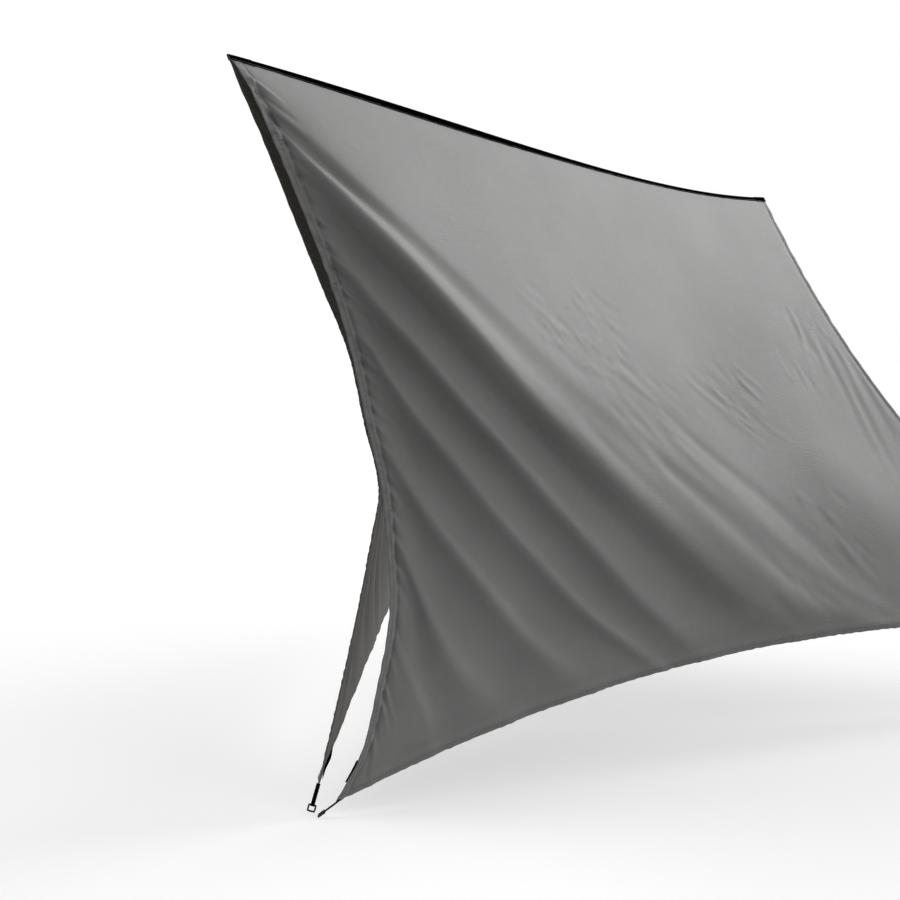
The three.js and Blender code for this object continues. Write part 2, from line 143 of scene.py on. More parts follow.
def table_curve(keys: Sequence[float], values: Sequence[float], at: Array) -> Array:
    """Smooth curve through the rows of a table.

    Args:
        keys: The rows' places, in order.
        values: The rows' values.
        at: Where the curve is read.

    Returns:
        The curve's value at each place.
    """
    x = np.asarray(keys, float)
    y = np.asarray(values, float)
    chords = np.diff(y) / np.diff(x)
    slopes = np.concatenate([chords[:1], (chords[1:] + chords[:-1]) / 2, chords[-1:]])
    low = np.clip(np.searchsorted(x, at) - 1, 0, len(x) - 2)
    span = x[low + 1] - x[low]
    q = (at - x[low]) / span
    start = (1 + 2 * q) * (1 - q) ** 2 * y[low] + q * (1 - q) ** 2 * span * slopes[low]
    end = q * q * (3 - 2 * q) * y[low + 1] + q * q * (q - 1) * span * slopes[low + 1]
    return start + end


def hump(t: Array, peak: float = 0.5) -> Array:
    """A hump from 0 to 1 and back over the range 0 to 1, highest at the given peak."""
    warped = np.maximum(t, 0.0) ** (math.log(0.5) / math.log(peak))
    return 4 * warped * (1 - warped)


def smooth_step(t: Array) -> Array:
    """Smooth rise from 0 at 0 to 1 at 1."""
    clipped = np.clip(t, 0.0, 1.0)
    return clipped * clipped * (3 - 2 * clipped)


def points(x: Array, y: Array, z: Array) -> Array:
    """Rows of x, y and z, from numbers or arrays of one length."""
    return np.stack(np.broadcast_arrays(x, y, z), axis=-1).astype(float)


@dataclass(frozen=True)
class Wobble:
    """Soft uneven wave along a line: a sum of sines whose phases come from a seed."""

    seed: int
    wavelength: float
    waves: int = 7
    spread: float = 0.5

    def __call__(self, distance: Array) -> Array:
        """Reads the wave.

        Args:
            distance: Distances along the line, in metres.

        Returns:
            The wave's height there, about -1 to 1.
        """
        draw = np.random.default_rng(self.seed)
        total = np.zeros_like(np.asarray(distance, float))
        for _ in range(self.waves):
            length = self.wavelength * (1 + self.spread * draw.uniform(-1, 1))
            total = total + np.sin(2 * math.pi * (distance / length + draw.uniform()))
        return total / math.sqrt(self.waves)


# ------------------------------------------------------------------ folds


@dataclass(frozen=True)
class Fold:
    """One fold of a panel, along a line that leaves its start steeply and flattens out.

    The line runs from one place of the panel to another, and curve is the power of its bend.
    depth is outward where positive, and width and to_width are half the fold's breadth at its
    start and end, all in millimetres. The fold rises over the share rise of its line, from the
    share root of its depth, and fade is the power with which it dies away.
    """

    along: float
    down: float
    to_along: float
    to_down: float
    depth: float
    width: float
    to_width: float
    curve: float = 0.74
    rise: float = 0.15
    root: float = 0.3
    fade: float = 0.7
    widening: float = 0.6

    def height(self, along: Array, down: Array) -> Array:
        """Reads the fold.

        Args:
            along: Fractions along the panel.
            down: Fractions down the panel.

        Returns:
            The fold's height at each place, in metres.
        """
        q = np.clip((along - self.along) / (self.to_along - self.along), 0.0, 1.0)
        line = self.down + (self.to_down - self.down) * q**self.curve
        steepness = (self.to_down - self.down) / (self.to_along - self.along)
        slope = steepness * PANEL_DOWN / PANEL_ALONG
        off = (down - line) * PANEL_DOWN / math.hypot(1, slope)
        strength = smooth_step(q / self.rise + self.root) * (1 - q) ** self.fade
        width = MM * (self.width + (self.to_width - self.width) * q**self.widening)
        return self.depth * MM * strength * np.exp(-((off / width) ** 2))


# The places on a fold line's run at which its heights are given, the furthest place at which they
# are read, and the power of the run over which they change evenly.
LEVEL_PLACES = (0.08, 0.4, 1.0)
LEVEL_END = 1.25
LEVEL_POWER = 0.6

# Share of a flank that is rounded at a crest, which is sharp, and at a trough, which is broad.
CREST = 0.18
TROUGH = 0.75


@dataclass(frozen=True)
class FoldLine:
    """One crest or trough, along a line that leaves the closed edge and runs down to the hem.

    down is the fraction of the closed edge where the line starts, reach the fraction of the hem
    where it ends, and curve the power of its bend. near, middle and far are its heights outward
    in millimetres, at the level places, and rounding is the share of its flanks that is rounded.
    """

    down: float
    reach: float
    curve: float
    near: float
    middle: float
    far: float
    rounding: float

    def run(self, along: Array) -> Array:
        """How far along the line each place is: 0 at the closed edge, 1 at the hem."""
        return np.maximum(along, 0) / self.reach

    def line(self, along: Array) -> Array:
        """Fraction down the panel at which the line passes."""
        return self.down + (1 - self.down) * self.run(along) ** self.curve

    def level(self, along: Array) -> Array:
        """Reads the line's height: a smooth curve through its three heights.

        Args:
            along: Fractions along the panel.

        Returns:
            The height there, in metres.
        """
        a, b, c = (place**LEVEL_POWER for place in LEVEL_PLACES)
        x = np.minimum(self.run(along), LEVEL_END) ** LEVEL_POWER
        near = self.near * (x - b) * (x - c) / ((a - b) * (a - c))
        middle = self.middle * (x - a) * (x - c) / ((b - a) * (b - c))
        far = self.far * (x - a) * (x - b) / ((c - a) * (c - b))
        return MM * (near + middle + far)


# Tension folds that fan out from the closed end, crest and trough in turn from the top:
# down, reach, curve, near, middle, far, rounding
FOLD_LINES = (
    FoldLine(0.022, 0.735, 0.83, 1.5, 1, 0, CREST),
    FoldLine(0.024, 0.70, 0.77, -5, -2, -6, 0.4),
    FoldLine(0.03, 0.575, 0.71, 26, 18, -2, CREST),
    FoldLine(0.118, 0.515, 0.75, -33, -36, -18, 0.45),
    FoldLine(0.188, 0.44, 0.74, 20, 9, -4, CREST),
    FoldLine(0.208, 0.407, 0.67, -19, -26, -18, TROUGH),
    FoldLine(0.219, 0.388, 0.55, 15, 2, -4, CREST),
    FoldLine(0.305, 0.371, 0.51, -20, -26, -16, TROUGH),
    FoldLine(0.447, 0.291, 0.63, 14, 4, -2, CREST),
    FoldLine(0.526, 0.241, 0.65, -11, -18, -10, TROUGH),
    FoldLine(0.499, 0.191, 0.45, 9, 2, 1, CREST),
    FoldLine(0.631, 0.128, 0.67, -11, -12, -6, TROUGH),
    FoldLine(0.747, 0.106, 0.84, 3, 1, 1, CREST),
)
# How far above the first line and below the last one the folds start and end, down the panel.
MARGIN_ABOVE = 0.1
MARGIN_BELOW = 0.07
LEAST_GAP = 1e-4


def flank(t: Array, start: float, end: float) -> Array:
    """A slope from 0 to 1, straight but for the shares that are rounded at its two ends.

    Args:
        t: Places on the slope, from 0 to 1.
        start: The share rounded at its start.
        end: The share rounded at its end.

    Returns:
        The height of the slope at each place.
    """
    steep = 1 / (1 - start / 2 - end / 2)
    rise = np.where(t < start, t * t / (2 * start), t - start / 2)
    return np.where(t < 1 - end, steep * rise, 1 - steep * (1 - t) ** 2 / (2 * end))


def main_folds(along: Array, down: Array) -> Array:
    """Reads the surface that passes through all the crests and troughs.

    Args:
        along: Fractions along the panel.
        down: Fractions down the panel.

    Returns:
        The surface's height at each place, in metres.
    """
    places = [fold.line(along) for fold in FOLD_LINES]
    places = [places[0] - MARGIN_ABOVE, *places, places[-1] + MARGIN_BELOW]
    flat = np.zeros_like(along)
    levels = [flat, *(fold.level(along) for fold in FOLD_LINES), flat]
    rounding = [TROUGH, *(fold.rounding for fold in FOLD_LINES), TROUGH]
    total = flat
    for index in range(len(places) - 1):
        gap = np.maximum(places[index + 1] - places[index], LEAST_GAP)
        share = np.clip((down - places[index]) / gap, 0, 1)
        slope = flank(share, rounding[index], rounding[index + 1])
        total = total + (levels[index + 1] - levels[index]) * slope
    return total


def hem_draw(*row: float, fade: float = 0.7) -> Fold:
    """A broad fold that swells from nothing and draws the cloth towards the hem."""
    return Fold(*row, curve=0.9, root=0.0, fade=fade)


def even_fold(*row: float) -> Fold:
    """A fold that swells from nothing and is as broad at its end as at its start."""
    return Fold(*row, to_width=row[-1], root=0.0)


# Smaller folds: two grooves beside the closed top corner, the draw of the cloth to the hem, creases
# in the middle, and the pull of the open edge: along, down, to_along, to_down, depth, width and,
# where it differs, to_width.
MINOR_FOLDS = (
    Fold(0.006, 0.066, 0.095, 0.233, -17, 13, 22, curve=0.8, root=0.6, rise=0.1, fade=1.1),
    Fold(0.006, 0.045, 0.06, 0.15, -6, 11, 14, curve=0.8, root=0.8, rise=0.1, fade=0.9),
    hem_draw(0.36, 0.60, 0.62, 1.0, 1.5, 24, 42, fade=0.4),
    hem_draw(0.37, 0.575, 0.65, 1.0, -4.5, 26, 46, fade=0.4),
    hem_draw(0.42, 0.56, 0.70, 1.0, 3, 24, 44, fade=0.5),
    hem_draw(0.45, 0.54, 0.74, 0.98, -4, 24, 40, fade=0.5),
    hem_draw(0.24, 0.52, 0.46, 0.85, 2.5, 20, 30),
    hem_draw(0.27, 0.53, 0.5, 0.86, -2.5, 20, 30),
    even_fold(0.54, 0.455, 0.645, 0.6, 2.2, 11),
    even_fold(0.55, 0.44, 0.65, 0.585, -1.4, 12),
    even_fold(0.975, 0.33, 0.9, 0.66, 2.6, 17),
    even_fold(0.965, 0.33, 0.88, 0.68, -2, 14),
    even_fold(0.95, 0.34, 0.86, 0.7, 2, 15),
    even_fold(0.94, 0.33, 0.85, 0.68, -1.5, 14),
    even_fold(0.985, 0.36, 0.93, 0.66, -2, 13),
    even_fold(0.99, 0.38, 0.95, 0.7, 1.6, 13),
    even_fold(0.93, 0.31, 0.87, 0.52, 1.4, 12),
    even_fold(0.915, 0.31, 0.86, 0.5, -1.4, 12),
    even_fold(0.905, 0.3, 0.85, 0.47, 1.2, 11),
)


# Shares of its patch's own measures between which a crease's measures are drawn.
CREASE_LENGTHS = (0.5, 1.3)
CREASE_TURNS = (0.6, 1.4)
CREASE_DEPTHS = (0.4, 1.2)
CREASE_WIDTHS = (0.8, 1.3)


@dataclass(frozen=True)
class CreasePatch:
    """A patch of short shallow creases, in fractions of the panel.

    turn is the creases' run down the panel for each step along it, and depth and width are in
    millimetres.
    """

    along: float
    down: float
    spread_along: float
    spread_down: float
    count: int
    length: float
    turn: float
    depth: float
    width: float

    def folds(self, seed: int) -> list[Fold]:
        """Draws up the patch's creases, each a short straight fold.

        Args:
            seed: What sets their places and sizes.

        Returns:
            The creases.
        """
        draw = np.random.default_rng(seed)
        made = []
        for _ in range(self.count):
            start = self.along + self.spread_along * draw.uniform(-1, 1)
            top = self.down + self.spread_down * draw.uniform(-1, 1)
            length = self.length * draw.uniform(*CREASE_LENGTHS)
            turn = self.turn * draw.uniform(*CREASE_TURNS)
            depth = self.depth * draw.choice([-1.0, 1.0]) * draw.uniform(*CREASE_DEPTHS)
            width = self.width * draw.uniform(*CREASE_WIDTHS)
            line = (start, top, start + length, top + turn * length)
            made.append(Fold(*line, depth, width, width, curve=1.0, rise=0.4, root=0.0))
        return made


# along, down, spread_along, spread_down, count, length, turn, depth, width
CREASE_PATCHES = (
    CreasePatch(0.34, 0.38, 0.1, 0.09, 46, 0.035, 0.9, 2.2, 12),
    CreasePatch(0.43, 0.5, 0.1, 0.06, 22, 0.04, 1.3, 2.2, 13),
    CreasePatch(0.62, 0.5, 0.06, 0.08, 26, 0.03, 1.5, 2.4, 12),
    CreasePatch(0.82, 0.4, 0.03, 0.05, 12, -0.012, -4.5, 1.8, 10),
    CreasePatch(0.93, 0.36, 0.04, 0.07, 26, -0.022, -4.0, 2.3, 11),
    CreasePatch(0.66, 0.78, 0.05, 0.08, 16, 0.03, 1.6, 2.2, 12),
    CreasePatch(0.54, 0.85, 0.06, 0.06, 10, 0.05, 1.4, 2.2, 14),
)


@dataclass(frozen=True)
class Billow:
    """The broad swell of a panel towards its open lower corner, in fractions of the panel."""

    along: float = 0.7
    down: float = 0.85
    spread_along: float = 0.28
    spread_down: float = 0.36
    swell: float = 78 * MM
    hem_fade: float = 0.38
    open_fade: float = 0.3
    ridge_fade: float = 0.3

    def height(self, along: Array, down: Array) -> Array:
        """Reads the swell, which dies away towards the ridge, the open edge and the hem.

        Args:
            along: Fractions along the panel.
            down: Fractions down the panel.

        Returns:
            Its height at each place, in metres.
        """
        east = (along - self.along) / self.spread_along
        south = (down - self.down) / self.spread_down
        held = smooth_step((1 - down) / self.hem_fade) * smooth_step((1 - along) / self.open_fade)
        return self.swell * np.exp(-(east**2 + south**2)) * (held * smooth_step(down / self.ridge_fade))


@dataclass(frozen=True)
class EdgeFan:
    """Short tension lines that fan out from the stitch line of the closed edge.

    They start beside the edge, from the fraction first to the fraction last down it. depth is
    their height and width half their breadth, in millimetres, and reach is how far they run
    along the panel. Towards the peg they drop more steeply and grow weaker.
    """

    count: int = 56
    start: float = 0.0096
    first: float = 0.02
    last: float = 0.93
    unevenness: float = 0.6
    reach: float = 0.026
    reach_shares: tuple[float, float] = (0.5, 1.5)
    drop: float = 1.3
    drop_gain: float = 1.6
    depth: float = 5.5
    depth_shares: tuple[float, float] = (0.4, 1.15)
    strength: float = 1.4
    strength_loss: float = 0.9
    width: float = 7

    def folds(self, seed: int) -> list[Fold]:
        """Draws up the fan's lines, in turn outward and inward, stronger near the ridge.

        Args:
            seed: What sets their places and sizes.

        Returns:
            The lines.
        """
        draw = np.random.default_rng(seed)
        made = []
        for index in range(self.count):
            share = (index + self.unevenness * draw.uniform(-1, 1)) / (self.count - 1)
            down = self.first + (self.last - self.first) * max(0.0, share)
            reach = self.reach * draw.uniform(*self.reach_shares)
            drop = reach * (self.drop + self.drop_gain * down)
            depth = self.depth * (-1) ** index * draw.uniform(*self.depth_shares)
            depth = depth * (self.strength - self.strength_loss * down)
            line = (self.start, down, self.start + reach, down + drop)
            made.append(Fold(*line, depth, self.width, self.width, curve=0.9, root=1.0, fade=1.3))
        return made


@dataclass(frozen=True)
class EdgeRipple:
    """Soft waves along a free edge, which die away inward.

    draw is added to the panel's seed, height is in millimetres and the rest in metres.
    """

    draw: int
    wavelength: float
    height: float
    reach: float


# draw, wavelength, height, reach
EDGE_RIPPLES = {
    Edge.CLOSED: EdgeRipple(31, 0.085, 0.5, 0.03),
    Edge.LOWER: EdgeRipple(32, 0.16, 1.1, 0.05),
    Edge.OPEN: EdgeRipple(33, 0.12, 1.0, 0.04),
}


@dataclass(frozen=True)
class Groove:
    """A groove, or a ridge where height is positive, that a row of stitches draws into the cloth.

    inset is its distance in from the edge and breadth half its breadth, all in millimetres.
    """

    inset: float
    breadth: float
    height: float

    def height_at(self, inward: Array) -> Array:
        """Height of the groove in millimetres at distances in from the edge, in metres."""
        return self.height * np.exp(-(((inward - self.inset * MM) / (self.breadth * MM)) ** 2))


# inset, breadth, height
CLOSED_GROOVES = (Groove(32.5, 14, -2.5), Groove(32.5, 5, -4.0))
OPEN_GROOVE = Groove(22, 12, -2.5)
LOWER_RIDGE = Groove(22, 10, 5.5)

# Beside the ridge the closed edge's waves keep the share RIPPLE_LEAST, and grow from there at the
# rate RIPPLE_GAIN. Its grooves lose the share GROOVE_EASE on their way down.
RIPPLE_LEAST = 0.35
RIPPLE_GAIN = 2.2
GROOVE_EASE = 0.4
# Where the waves of two edges meet beyond this strength, they calm down at this rate.
CORNER_CALM = 0.2
CORNER_RATE = 2.0

# Fractions of the panel over which folds fade in beside the ridge, the side edges and the hem.
MAIN_TOP = 0.04
SMALL_TOP = 0.03
SMALL_SIDE = 0.008
SMALL_HEM = 0.012
# The main folds lose the share HEM_LOSS of their height over the last HEM_BAND of the way down.
HEM_LOSS = 0.6
HEM_BAND = 0.12

# Step, as a fraction of the panel, over which the direction of its surface is measured.
PROBE = 0.002


# ------------------------------------------------------------------ cloth panels


@dataclass(frozen=True)
class Ridge:
    """The sagging line that the tarp hangs from."""

    closed_end: Triple = (-1.58, 0.0, 0.105)
    open_end: Triple = (1.58, 0.0, -0.028)
    sag: float = 0.046
    sag_peak: float = 0.66
    seam_half_gap: float = 0.0011

    def point(self, along: Array, side: Side) -> Array:
        """The panel's top edge on one side of the ridge."""
        start = np.array(self.closed_end)
        line = start + (np.array(self.open_end) - start) * np.asarray(along)[..., None]
        line[..., 1] += side.value * self.seam_half_gap
        line[..., 2] -= self.sag * hump(along, self.sag_peak)
        return line


@dataclass
class PanelShape:
    """The surface in which one panel hangs, from its four edges, its bend and its folds."""

    name: str
    side: Side
    closed_corner_down: float
    open_corner: Triple
    hem_arch_up: float
    hem_arch_in: float
    bend: float
    seed: int
    fold_share: float
    fold_start: float
    bend_start: float
    fan_share: float
    ridge: Ridge = field(default_factory=Ridge)
    peg: Triple = (-1.292, 0.0, -1.787)
    open_curve_along: float = 0.262
    open_curve_in: float = 0.045
    open_curve_peak: float = 0.534
    bend_line_down: float = 0.03
    bend_reach: float = 0.65
    bend_curve: float = 0.695
    bend_rounding: float = 0.1
    bend_softness: float = 0.07
    bend_widening: float = 0.9

    def __post_init__(self) -> None:
        """Draws up the lists of the panel's smaller folds."""
        self.minor: list[Fold] = list(MINOR_FOLDS)
        for index, patch in enumerate(CREASE_PATCHES):
            self.minor += patch.folds(self.seed + index)
        self.fan: list[Fold] = EdgeFan().folds(self.seed + len(CREASE_PATCHES))

    def closed_edge(self, fraction: Array) -> Array:
        """The edge at the closed end, from the ridge (0) to its lower corner (1)."""
        down = np.asarray(fraction, float) * self.closed_corner_down
        start = np.array(self.ridge.closed_end)
        line = start + (np.array(self.peg) - start) * down[..., None]
        keys = [row.down for row in CLOSED_EDGE]
        stand_off = [getattr(row, self.name) for row in CLOSED_EDGE]
        line[..., 0] += MM * table_curve(keys, [row.drawn_in for row in CLOSED_EDGE], down)
        line[..., 1] += self.side.value * MM * table_curve(keys, stand_off, down)
        return line

    def open_edge(self, fraction: Array) -> Array:
        """The edge at the open end, from the ridge (0) to its lower corner (1)."""
        t = np.asarray(fraction, float)
        start = self.ridge.point(np.ones(()), self.side)
        line = start + (np.array(self.open_corner) - start) * t[..., None]
        bow = hump(t, self.open_curve_peak)
        line[..., 0] -= self.open_curve_along * bow
        line[..., 1] -= self.side.value * self.open_curve_in * bow
        return line

    def hem(self, fraction: Array) -> Array:
        """The lower edge, from the closed end (0) to the open end (1)."""
        t = np.asarray(fraction, float)
        start = self.closed_edge(np.ones(()))
        line = start + (np.array(self.open_corner) - start) * t[..., None]
        line[..., 1] -= self.side.value * self.hem_arch_in * hump(t)
        line[..., 2] += self.hem_arch_up * hump(t)
        return line

    def bend_share(self, along: Array, down: Array) -> Array:
        """Reads the bend: nothing at the four edges, most beside the main crest.

        Args:
            along: Fractions along the panel.
            down: Fractions down the panel.

        Returns:
            The share of the bend at each place.
        """
        run = (np.maximum(along, 0) / self.bend_reach) ** self.bend_curve
        run = self.bend_line_down + (1 - self.bend_line_down) * run
        near = np.maximum(0, 1 - np.abs(run - 1) / self.bend_rounding)
        across = np.minimum(run, 1) - near**2 * self.bend_rounding / 4
        inside = np.maximum(across * (1 - across) * down * (1 - down), 0)
        softness = 4 * self.bend_softness * np.sqrt(inside) * (1 + self.bend_widening * down**2)
        least = (across + down - np.hypot(across - down, softness)) / 2
        begun = 1 - np.exp(-np.maximum(along, 0) / self.bend_start)
        return (least - across * down) * begun

    def smooth(self, along: Array, down: Array) -> Array:
        """Reads the surface without its folds: it spans the four edges, with one bend.

        Args:
            along: Fractions along the panel.
            down: Fractions down the panel.

        Returns:
            One point for each place.
        """
        a = np.asarray(along, float)
        d = np.asarray(down, float)
        u = a[..., None]
        v = d[..., None]
        none = np.zeros_like(a)
        full = np.ones_like(a)
        side = self.side
        corners = (1 - u) * (1 - v) * self.ridge.point(none, side)
        corners = corners + u * (1 - v) * self.ridge.point(full, side)
        corners = corners + (1 - u) * v * self.hem(none) + u * v * self.hem(full)
        spanned = (1 - v) * self.ridge.point(a, side) + v * self.hem(a)
        spanned = spanned + (1 - u) * self.closed_edge(d) + u * self.open_edge(d) - corners
        one = np.ones(())
        twist = self.ridge.point(one * 0, side) - self.ridge.point(one, side)
        twist = twist - self.closed_edge(one) + np.array(self.open_corner)
        return spanned + self.bend * self.bend_share(a, d)[..., None] * twist

    def outward(self, along: Array, down: Array) -> Array:
        """The outward direction of the unfolded surface."""
        east = self.smooth(along + PROBE, down) - self.smooth(along - PROBE, down)
        south = self.smooth(along, down + PROBE) - self.smooth(along, down - PROBE)
        normal = -self.side.value * np.cross(south, east)
        return normal / np.linalg.norm(normal, axis=-1, keepdims=True)

    def height(self, along: Array, down: Array) -> Array:
        """Reads all the folds, faded out beside the edges.

        Args:
            along: Fractions along the panel.
            down: Fractions down the panel.

        Returns:
            Their height at each place, in metres.
        """
        main = main_folds(along, down)
        main = main * smooth_step(along / self.fold_start) * smooth_step(down / MAIN_TOP)
        main = main * (1 - HEM_LOSS * smooth_step((down - 1 + HEM_BAND) / HEM_BAND))
        minor = sum(fold.height(along, down) for fold in self.minor)
        edges = np.minimum(np.minimum(along, 1 - along) / SMALL_SIDE, (1 - down) / SMALL_HEM)
        minor = minor * smooth_step(np.minimum(edges, down / SMALL_TOP))
        fan = sum(fold.height(along, down) for fold in self.fan)
        fan = fan * smooth_step(down / SMALL_TOP) * smooth_step(along / SMALL_SIDE)
        swell = Billow().height(along, down)
        return self.fold_share * (main + minor + swell) + self.fan_share * fan

    def ripple(self, edge: Edge, run: Array, inward: Array) -> Pair:
        """Reads the waves of one free edge.

        Args:
            edge: The edge.
            run: Distance along the edge, in metres.
            inward: Distance in from the edge, in metres.

        Returns:
            The waves' height in millimetres, and the share of it that each place feels.
        """
        row = EDGE_RIPPLES[edge]
        wave = row.height * Wobble(self.seed + row.draw, row.wavelength)(run)
        return wave, np.exp(-inward / row.reach)

    def edge_wave(self, along: Array, down: Array) -> Array:
        """Reads the waves and the stitched grooves that run along the free edges.

        Args:
            along: Fractions along the panel.
            down: Fractions down the panel.

        Returns:
            Their height at each place, in metres.
        """
        from_closed = along * PANEL_ALONG
        from_open = (1 - along) * PANEL_ALONG
        from_hem = (1 - down) * PANEL_DOWN
        closed, near_closed = self.ripple(Edge.CLOSED, down * PANEL_DOWN, from_closed)
        lower, near_lower = self.ripple(Edge.LOWER, from_closed, from_hem)
        opened, near_opened = self.ripple(Edge.OPEN, down * PANEL_DOWN, from_open)
        near_closed = near_closed * (RIPPLE_LEAST + (1 - RIPPLE_LEAST) * smooth_step(down * RIPPLE_GAIN))
        wave = closed * near_closed + lower * near_lower + opened * near_opened
        drawn_in = sum(groove.height_at(from_closed) for groove in CLOSED_GROOVES)
        wave = wave + drawn_in * self.fan_share * (1 - GROOVE_EASE * down)
        wave = wave + OPEN_GROOVE.height_at(from_open) + LOWER_RIDGE.height_at(from_hem)
        corner = smooth_step((near_lower * near_closed - CORNER_CALM) * CORNER_RATE)
        return MM * wave * smooth_step(down / MAIN_TOP) * (1 - corner)

    def surface(self, along: Array, down: Array, lift: Array) -> Array:
        """Reads the middle of the cloth, with all its folds.

        Args:
            along: Fractions along the panel.
            down: Fractions down the panel.
            lift: Distance outward from the cloth's middle, in metres.

        Returns:
            One point for each place.
        """
        rise = self.height(along, down) + self.edge_wave(along, down) + lift
        return self.smooth(along, down) + self.outward(along, down) * np.asarray(rise)[..., None]


# ------------------------------------------------------------------ mesh making


def link(name: str, data: ID) -> Object:
    """Makes an object of a mesh, a light or a camera and puts it in the scene."""
    made = bpy.data.objects.new(name, data)
    bpy.context.scene.collection.objects.link(made)
    return made


def finish_piece(
    mesh: Mesh,
    materials: Sequence[Material],
    replaced: str = "",
) -> Object:
    """Puts a finished mesh in the scene, smooth, and rides it on the body.

    Args:
        mesh: The mesh, which has the piece's name.
        materials: Its finishes.
        replaced: The model's node that it stands in for, if any.

    Returns:
        The new piece.
    """
    for material in materials:
        mesh.materials.append(material)
    mesh.polygons.foreach_set("use_smooth", [True] * len(mesh.polygons))
    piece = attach(link(mesh.name, mesh), "root")
    if replaced:
        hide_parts(replaced)
    return piece


# Vertices this close together are one, in metres.
SAME_PLACE = 1e-6


@dataclass
class GridSheet:
    """A sheet or tube made from a unit grid: each vertex goes to a place given by its fractions.

    place turns the fractions into points and texture turns them into map coordinates in metres.
    The rows are three times as fine up to the column fraction finer_until, closed joins the edges
    that meet and fills what is open, and two_faced gives the half beyond the middle of the rows
    the second finish.
    """

    name: str
    columns: int
    rows: int
    place: Callable[[Array, Array], Array]
    texture: Callable[[Array, Array], Pair]
    closed: bool = False
    finer_until: float = 0.0
    two_faced: bool = False

    def build(self) -> Mesh:
        """Makes the mesh.

        Returns:
            The mesh, with its faces pointing outward.
        """
        bm = bmesh.new()
        bmesh.ops.create_grid(bm, x_segments=self.columns, y_segments=self.rows, size=0.5)
        if self.two_faced:
            for face in bm.faces:
                face.material_index = int(face.calc_center_median().y > 0)
        if self.finer_until > 0:
            self.refine(bm)
        mesh = bpy.data.meshes.new(self.name)
        bm.to_mesh(mesh)
        bm.free()
        flat = np.empty(len(mesh.vertices) * 3)
        mesh.vertices.foreach_get("co", flat)
        x, y, _ = flat.reshape(-1, 3).T + 0.5
        self.map_texture(mesh, x, y)
        mesh.vertices.foreach_set("co", self.place(x, y).ravel())
        if self.closed:
            self.close(mesh)
        mesh.update()
        return mesh

    def refine(self, bm: bmesh.types.BMesh) -> None:
        """Splits the rows in three up to the column fraction finer_until."""
        limit = self.finer_until - 0.5
        cut = []
        for edge in bm.edges:
            start, end = (vertex.co.x for vertex in edge.verts)
            if abs(start - end) < SAME_PLACE and start < limit:
                cut.append(edge)
        bmesh.ops.subdivide_edges(bm, edges=cut, cuts=2)

    def map_texture(self, mesh: Mesh, x: Array, y: Array) -> None:
        """Adds the map whose coordinates are metres of cloth or webbing."""
        layer = mesh.uv_layers.new(name="cloth")
        corners = np.empty(len(mesh.loops), dtype=np.int32)
        mesh.loops.foreach_get("vertex_index", corners)
        u, v = self.texture(x, y)
        layer.data.foreach_set("uv", np.stack([u[corners], v[corners]], axis=-1).ravel())

    def close(self, mesh: Mesh) -> None:
        """Joins the seams and fills what is still open."""
        bm = bmesh.new()
        bm.from_mesh(mesh)
        bmesh.ops.remove_doubles(bm, verts=bm.verts, dist=SAME_PLACE)
        bmesh.ops.holes_fill(bm, edges=bm.edges, sides=0)
        bmesh.ops.recalc_face_normals(bm, faces=bm.faces)
        bm.to_mesh(mesh)
        bm.free()


def thicken(piece: Object, thickness: float, offset: float = 0.0, inner_slot: int = 0) -> None:
    """Gives a sheet its thickness: offset is 1 where it grows outward and 0 where it is centred."""
    wall = piece.modifiers.new("thickness", "SOLIDIFY")
    wall.thickness = thickness
    wall.offset = offset
    wall.use_even_offset = False
    wall.material_offset = inner_slot


# ------------------------------------------------------------------ finishes


def linear(code: str) -> tuple[float, float, float, float]:
    """Turns an sRGB hex colour such as "8A8C8B" into a linear colour."""
    channels = [int(code[i : i + 2], 16) / 255 for i in (0, 2, 4)]
    curve = [c / 12.92 if c <= 0.04045 else ((c + 0.055) / 1.055) ** 2.4 for c in channels]
    return (curve[0], curve[1], curve[2], 1.0)


def add_node(
    tree: NodeTree,
    kind: str,
    settings: Optional[dict] = None,
    inputs: Optional[dict] = None,
) -> Node:
    """Adds a node to a tree.

    Args:
        tree: The node tree.
        kind: The node's type name.
        settings: Properties of the node, by name.
        inputs: What goes into its sockets, by name or number: a value, or a socket to link.

    Returns:
        The new node.
    """
    made = tree.nodes.new(kind)
    for key, value in (settings or {}).items():
        setattr(made, key, value)
    for key, value in (inputs or {}).items():
        socket = made.inputs[key]
        if isinstance(value, NodeSocket):
            tree.links.new(value, socket)
        else:
            socket.default_value = value
    return made


def new_material(name: str) -> tuple[Material, NodeTree]:
    """Makes an empty node material."""
    material = bpy.data.materials.new(name)
    material.use_nodes = True
    material.node_tree.nodes.clear()
    return material, material.node_tree


def thread_waves(tree: NodeTree, mapped: NodeSocket, rates: Sequence[float]) -> list[NodeSocket]:
    """Adds the sine waves of threads that run in two directions.

    Args:
        tree: The node tree.
        mapped: The cloth's map.
        rates: Radians for each metre, in the map's first and second direction.

    Returns:
        The sockets of the two waves.
    """
    parts = add_node(tree, "ShaderNodeSeparateXYZ", {}, {"Vector": mapped})
    made = []
    for axis, rate in zip("XY", rates):
        angle = add_node(tree, "ShaderNodeMath", {"operation": "MULTIPLY"},
                         {0: parts.outputs[axis], 1: rate})
        wave = add_node(tree, "ShaderNodeMath", {"operation": "SINE"}, {0: angle.outputs[0]})
        made.append(wave.outputs[0])
    return made


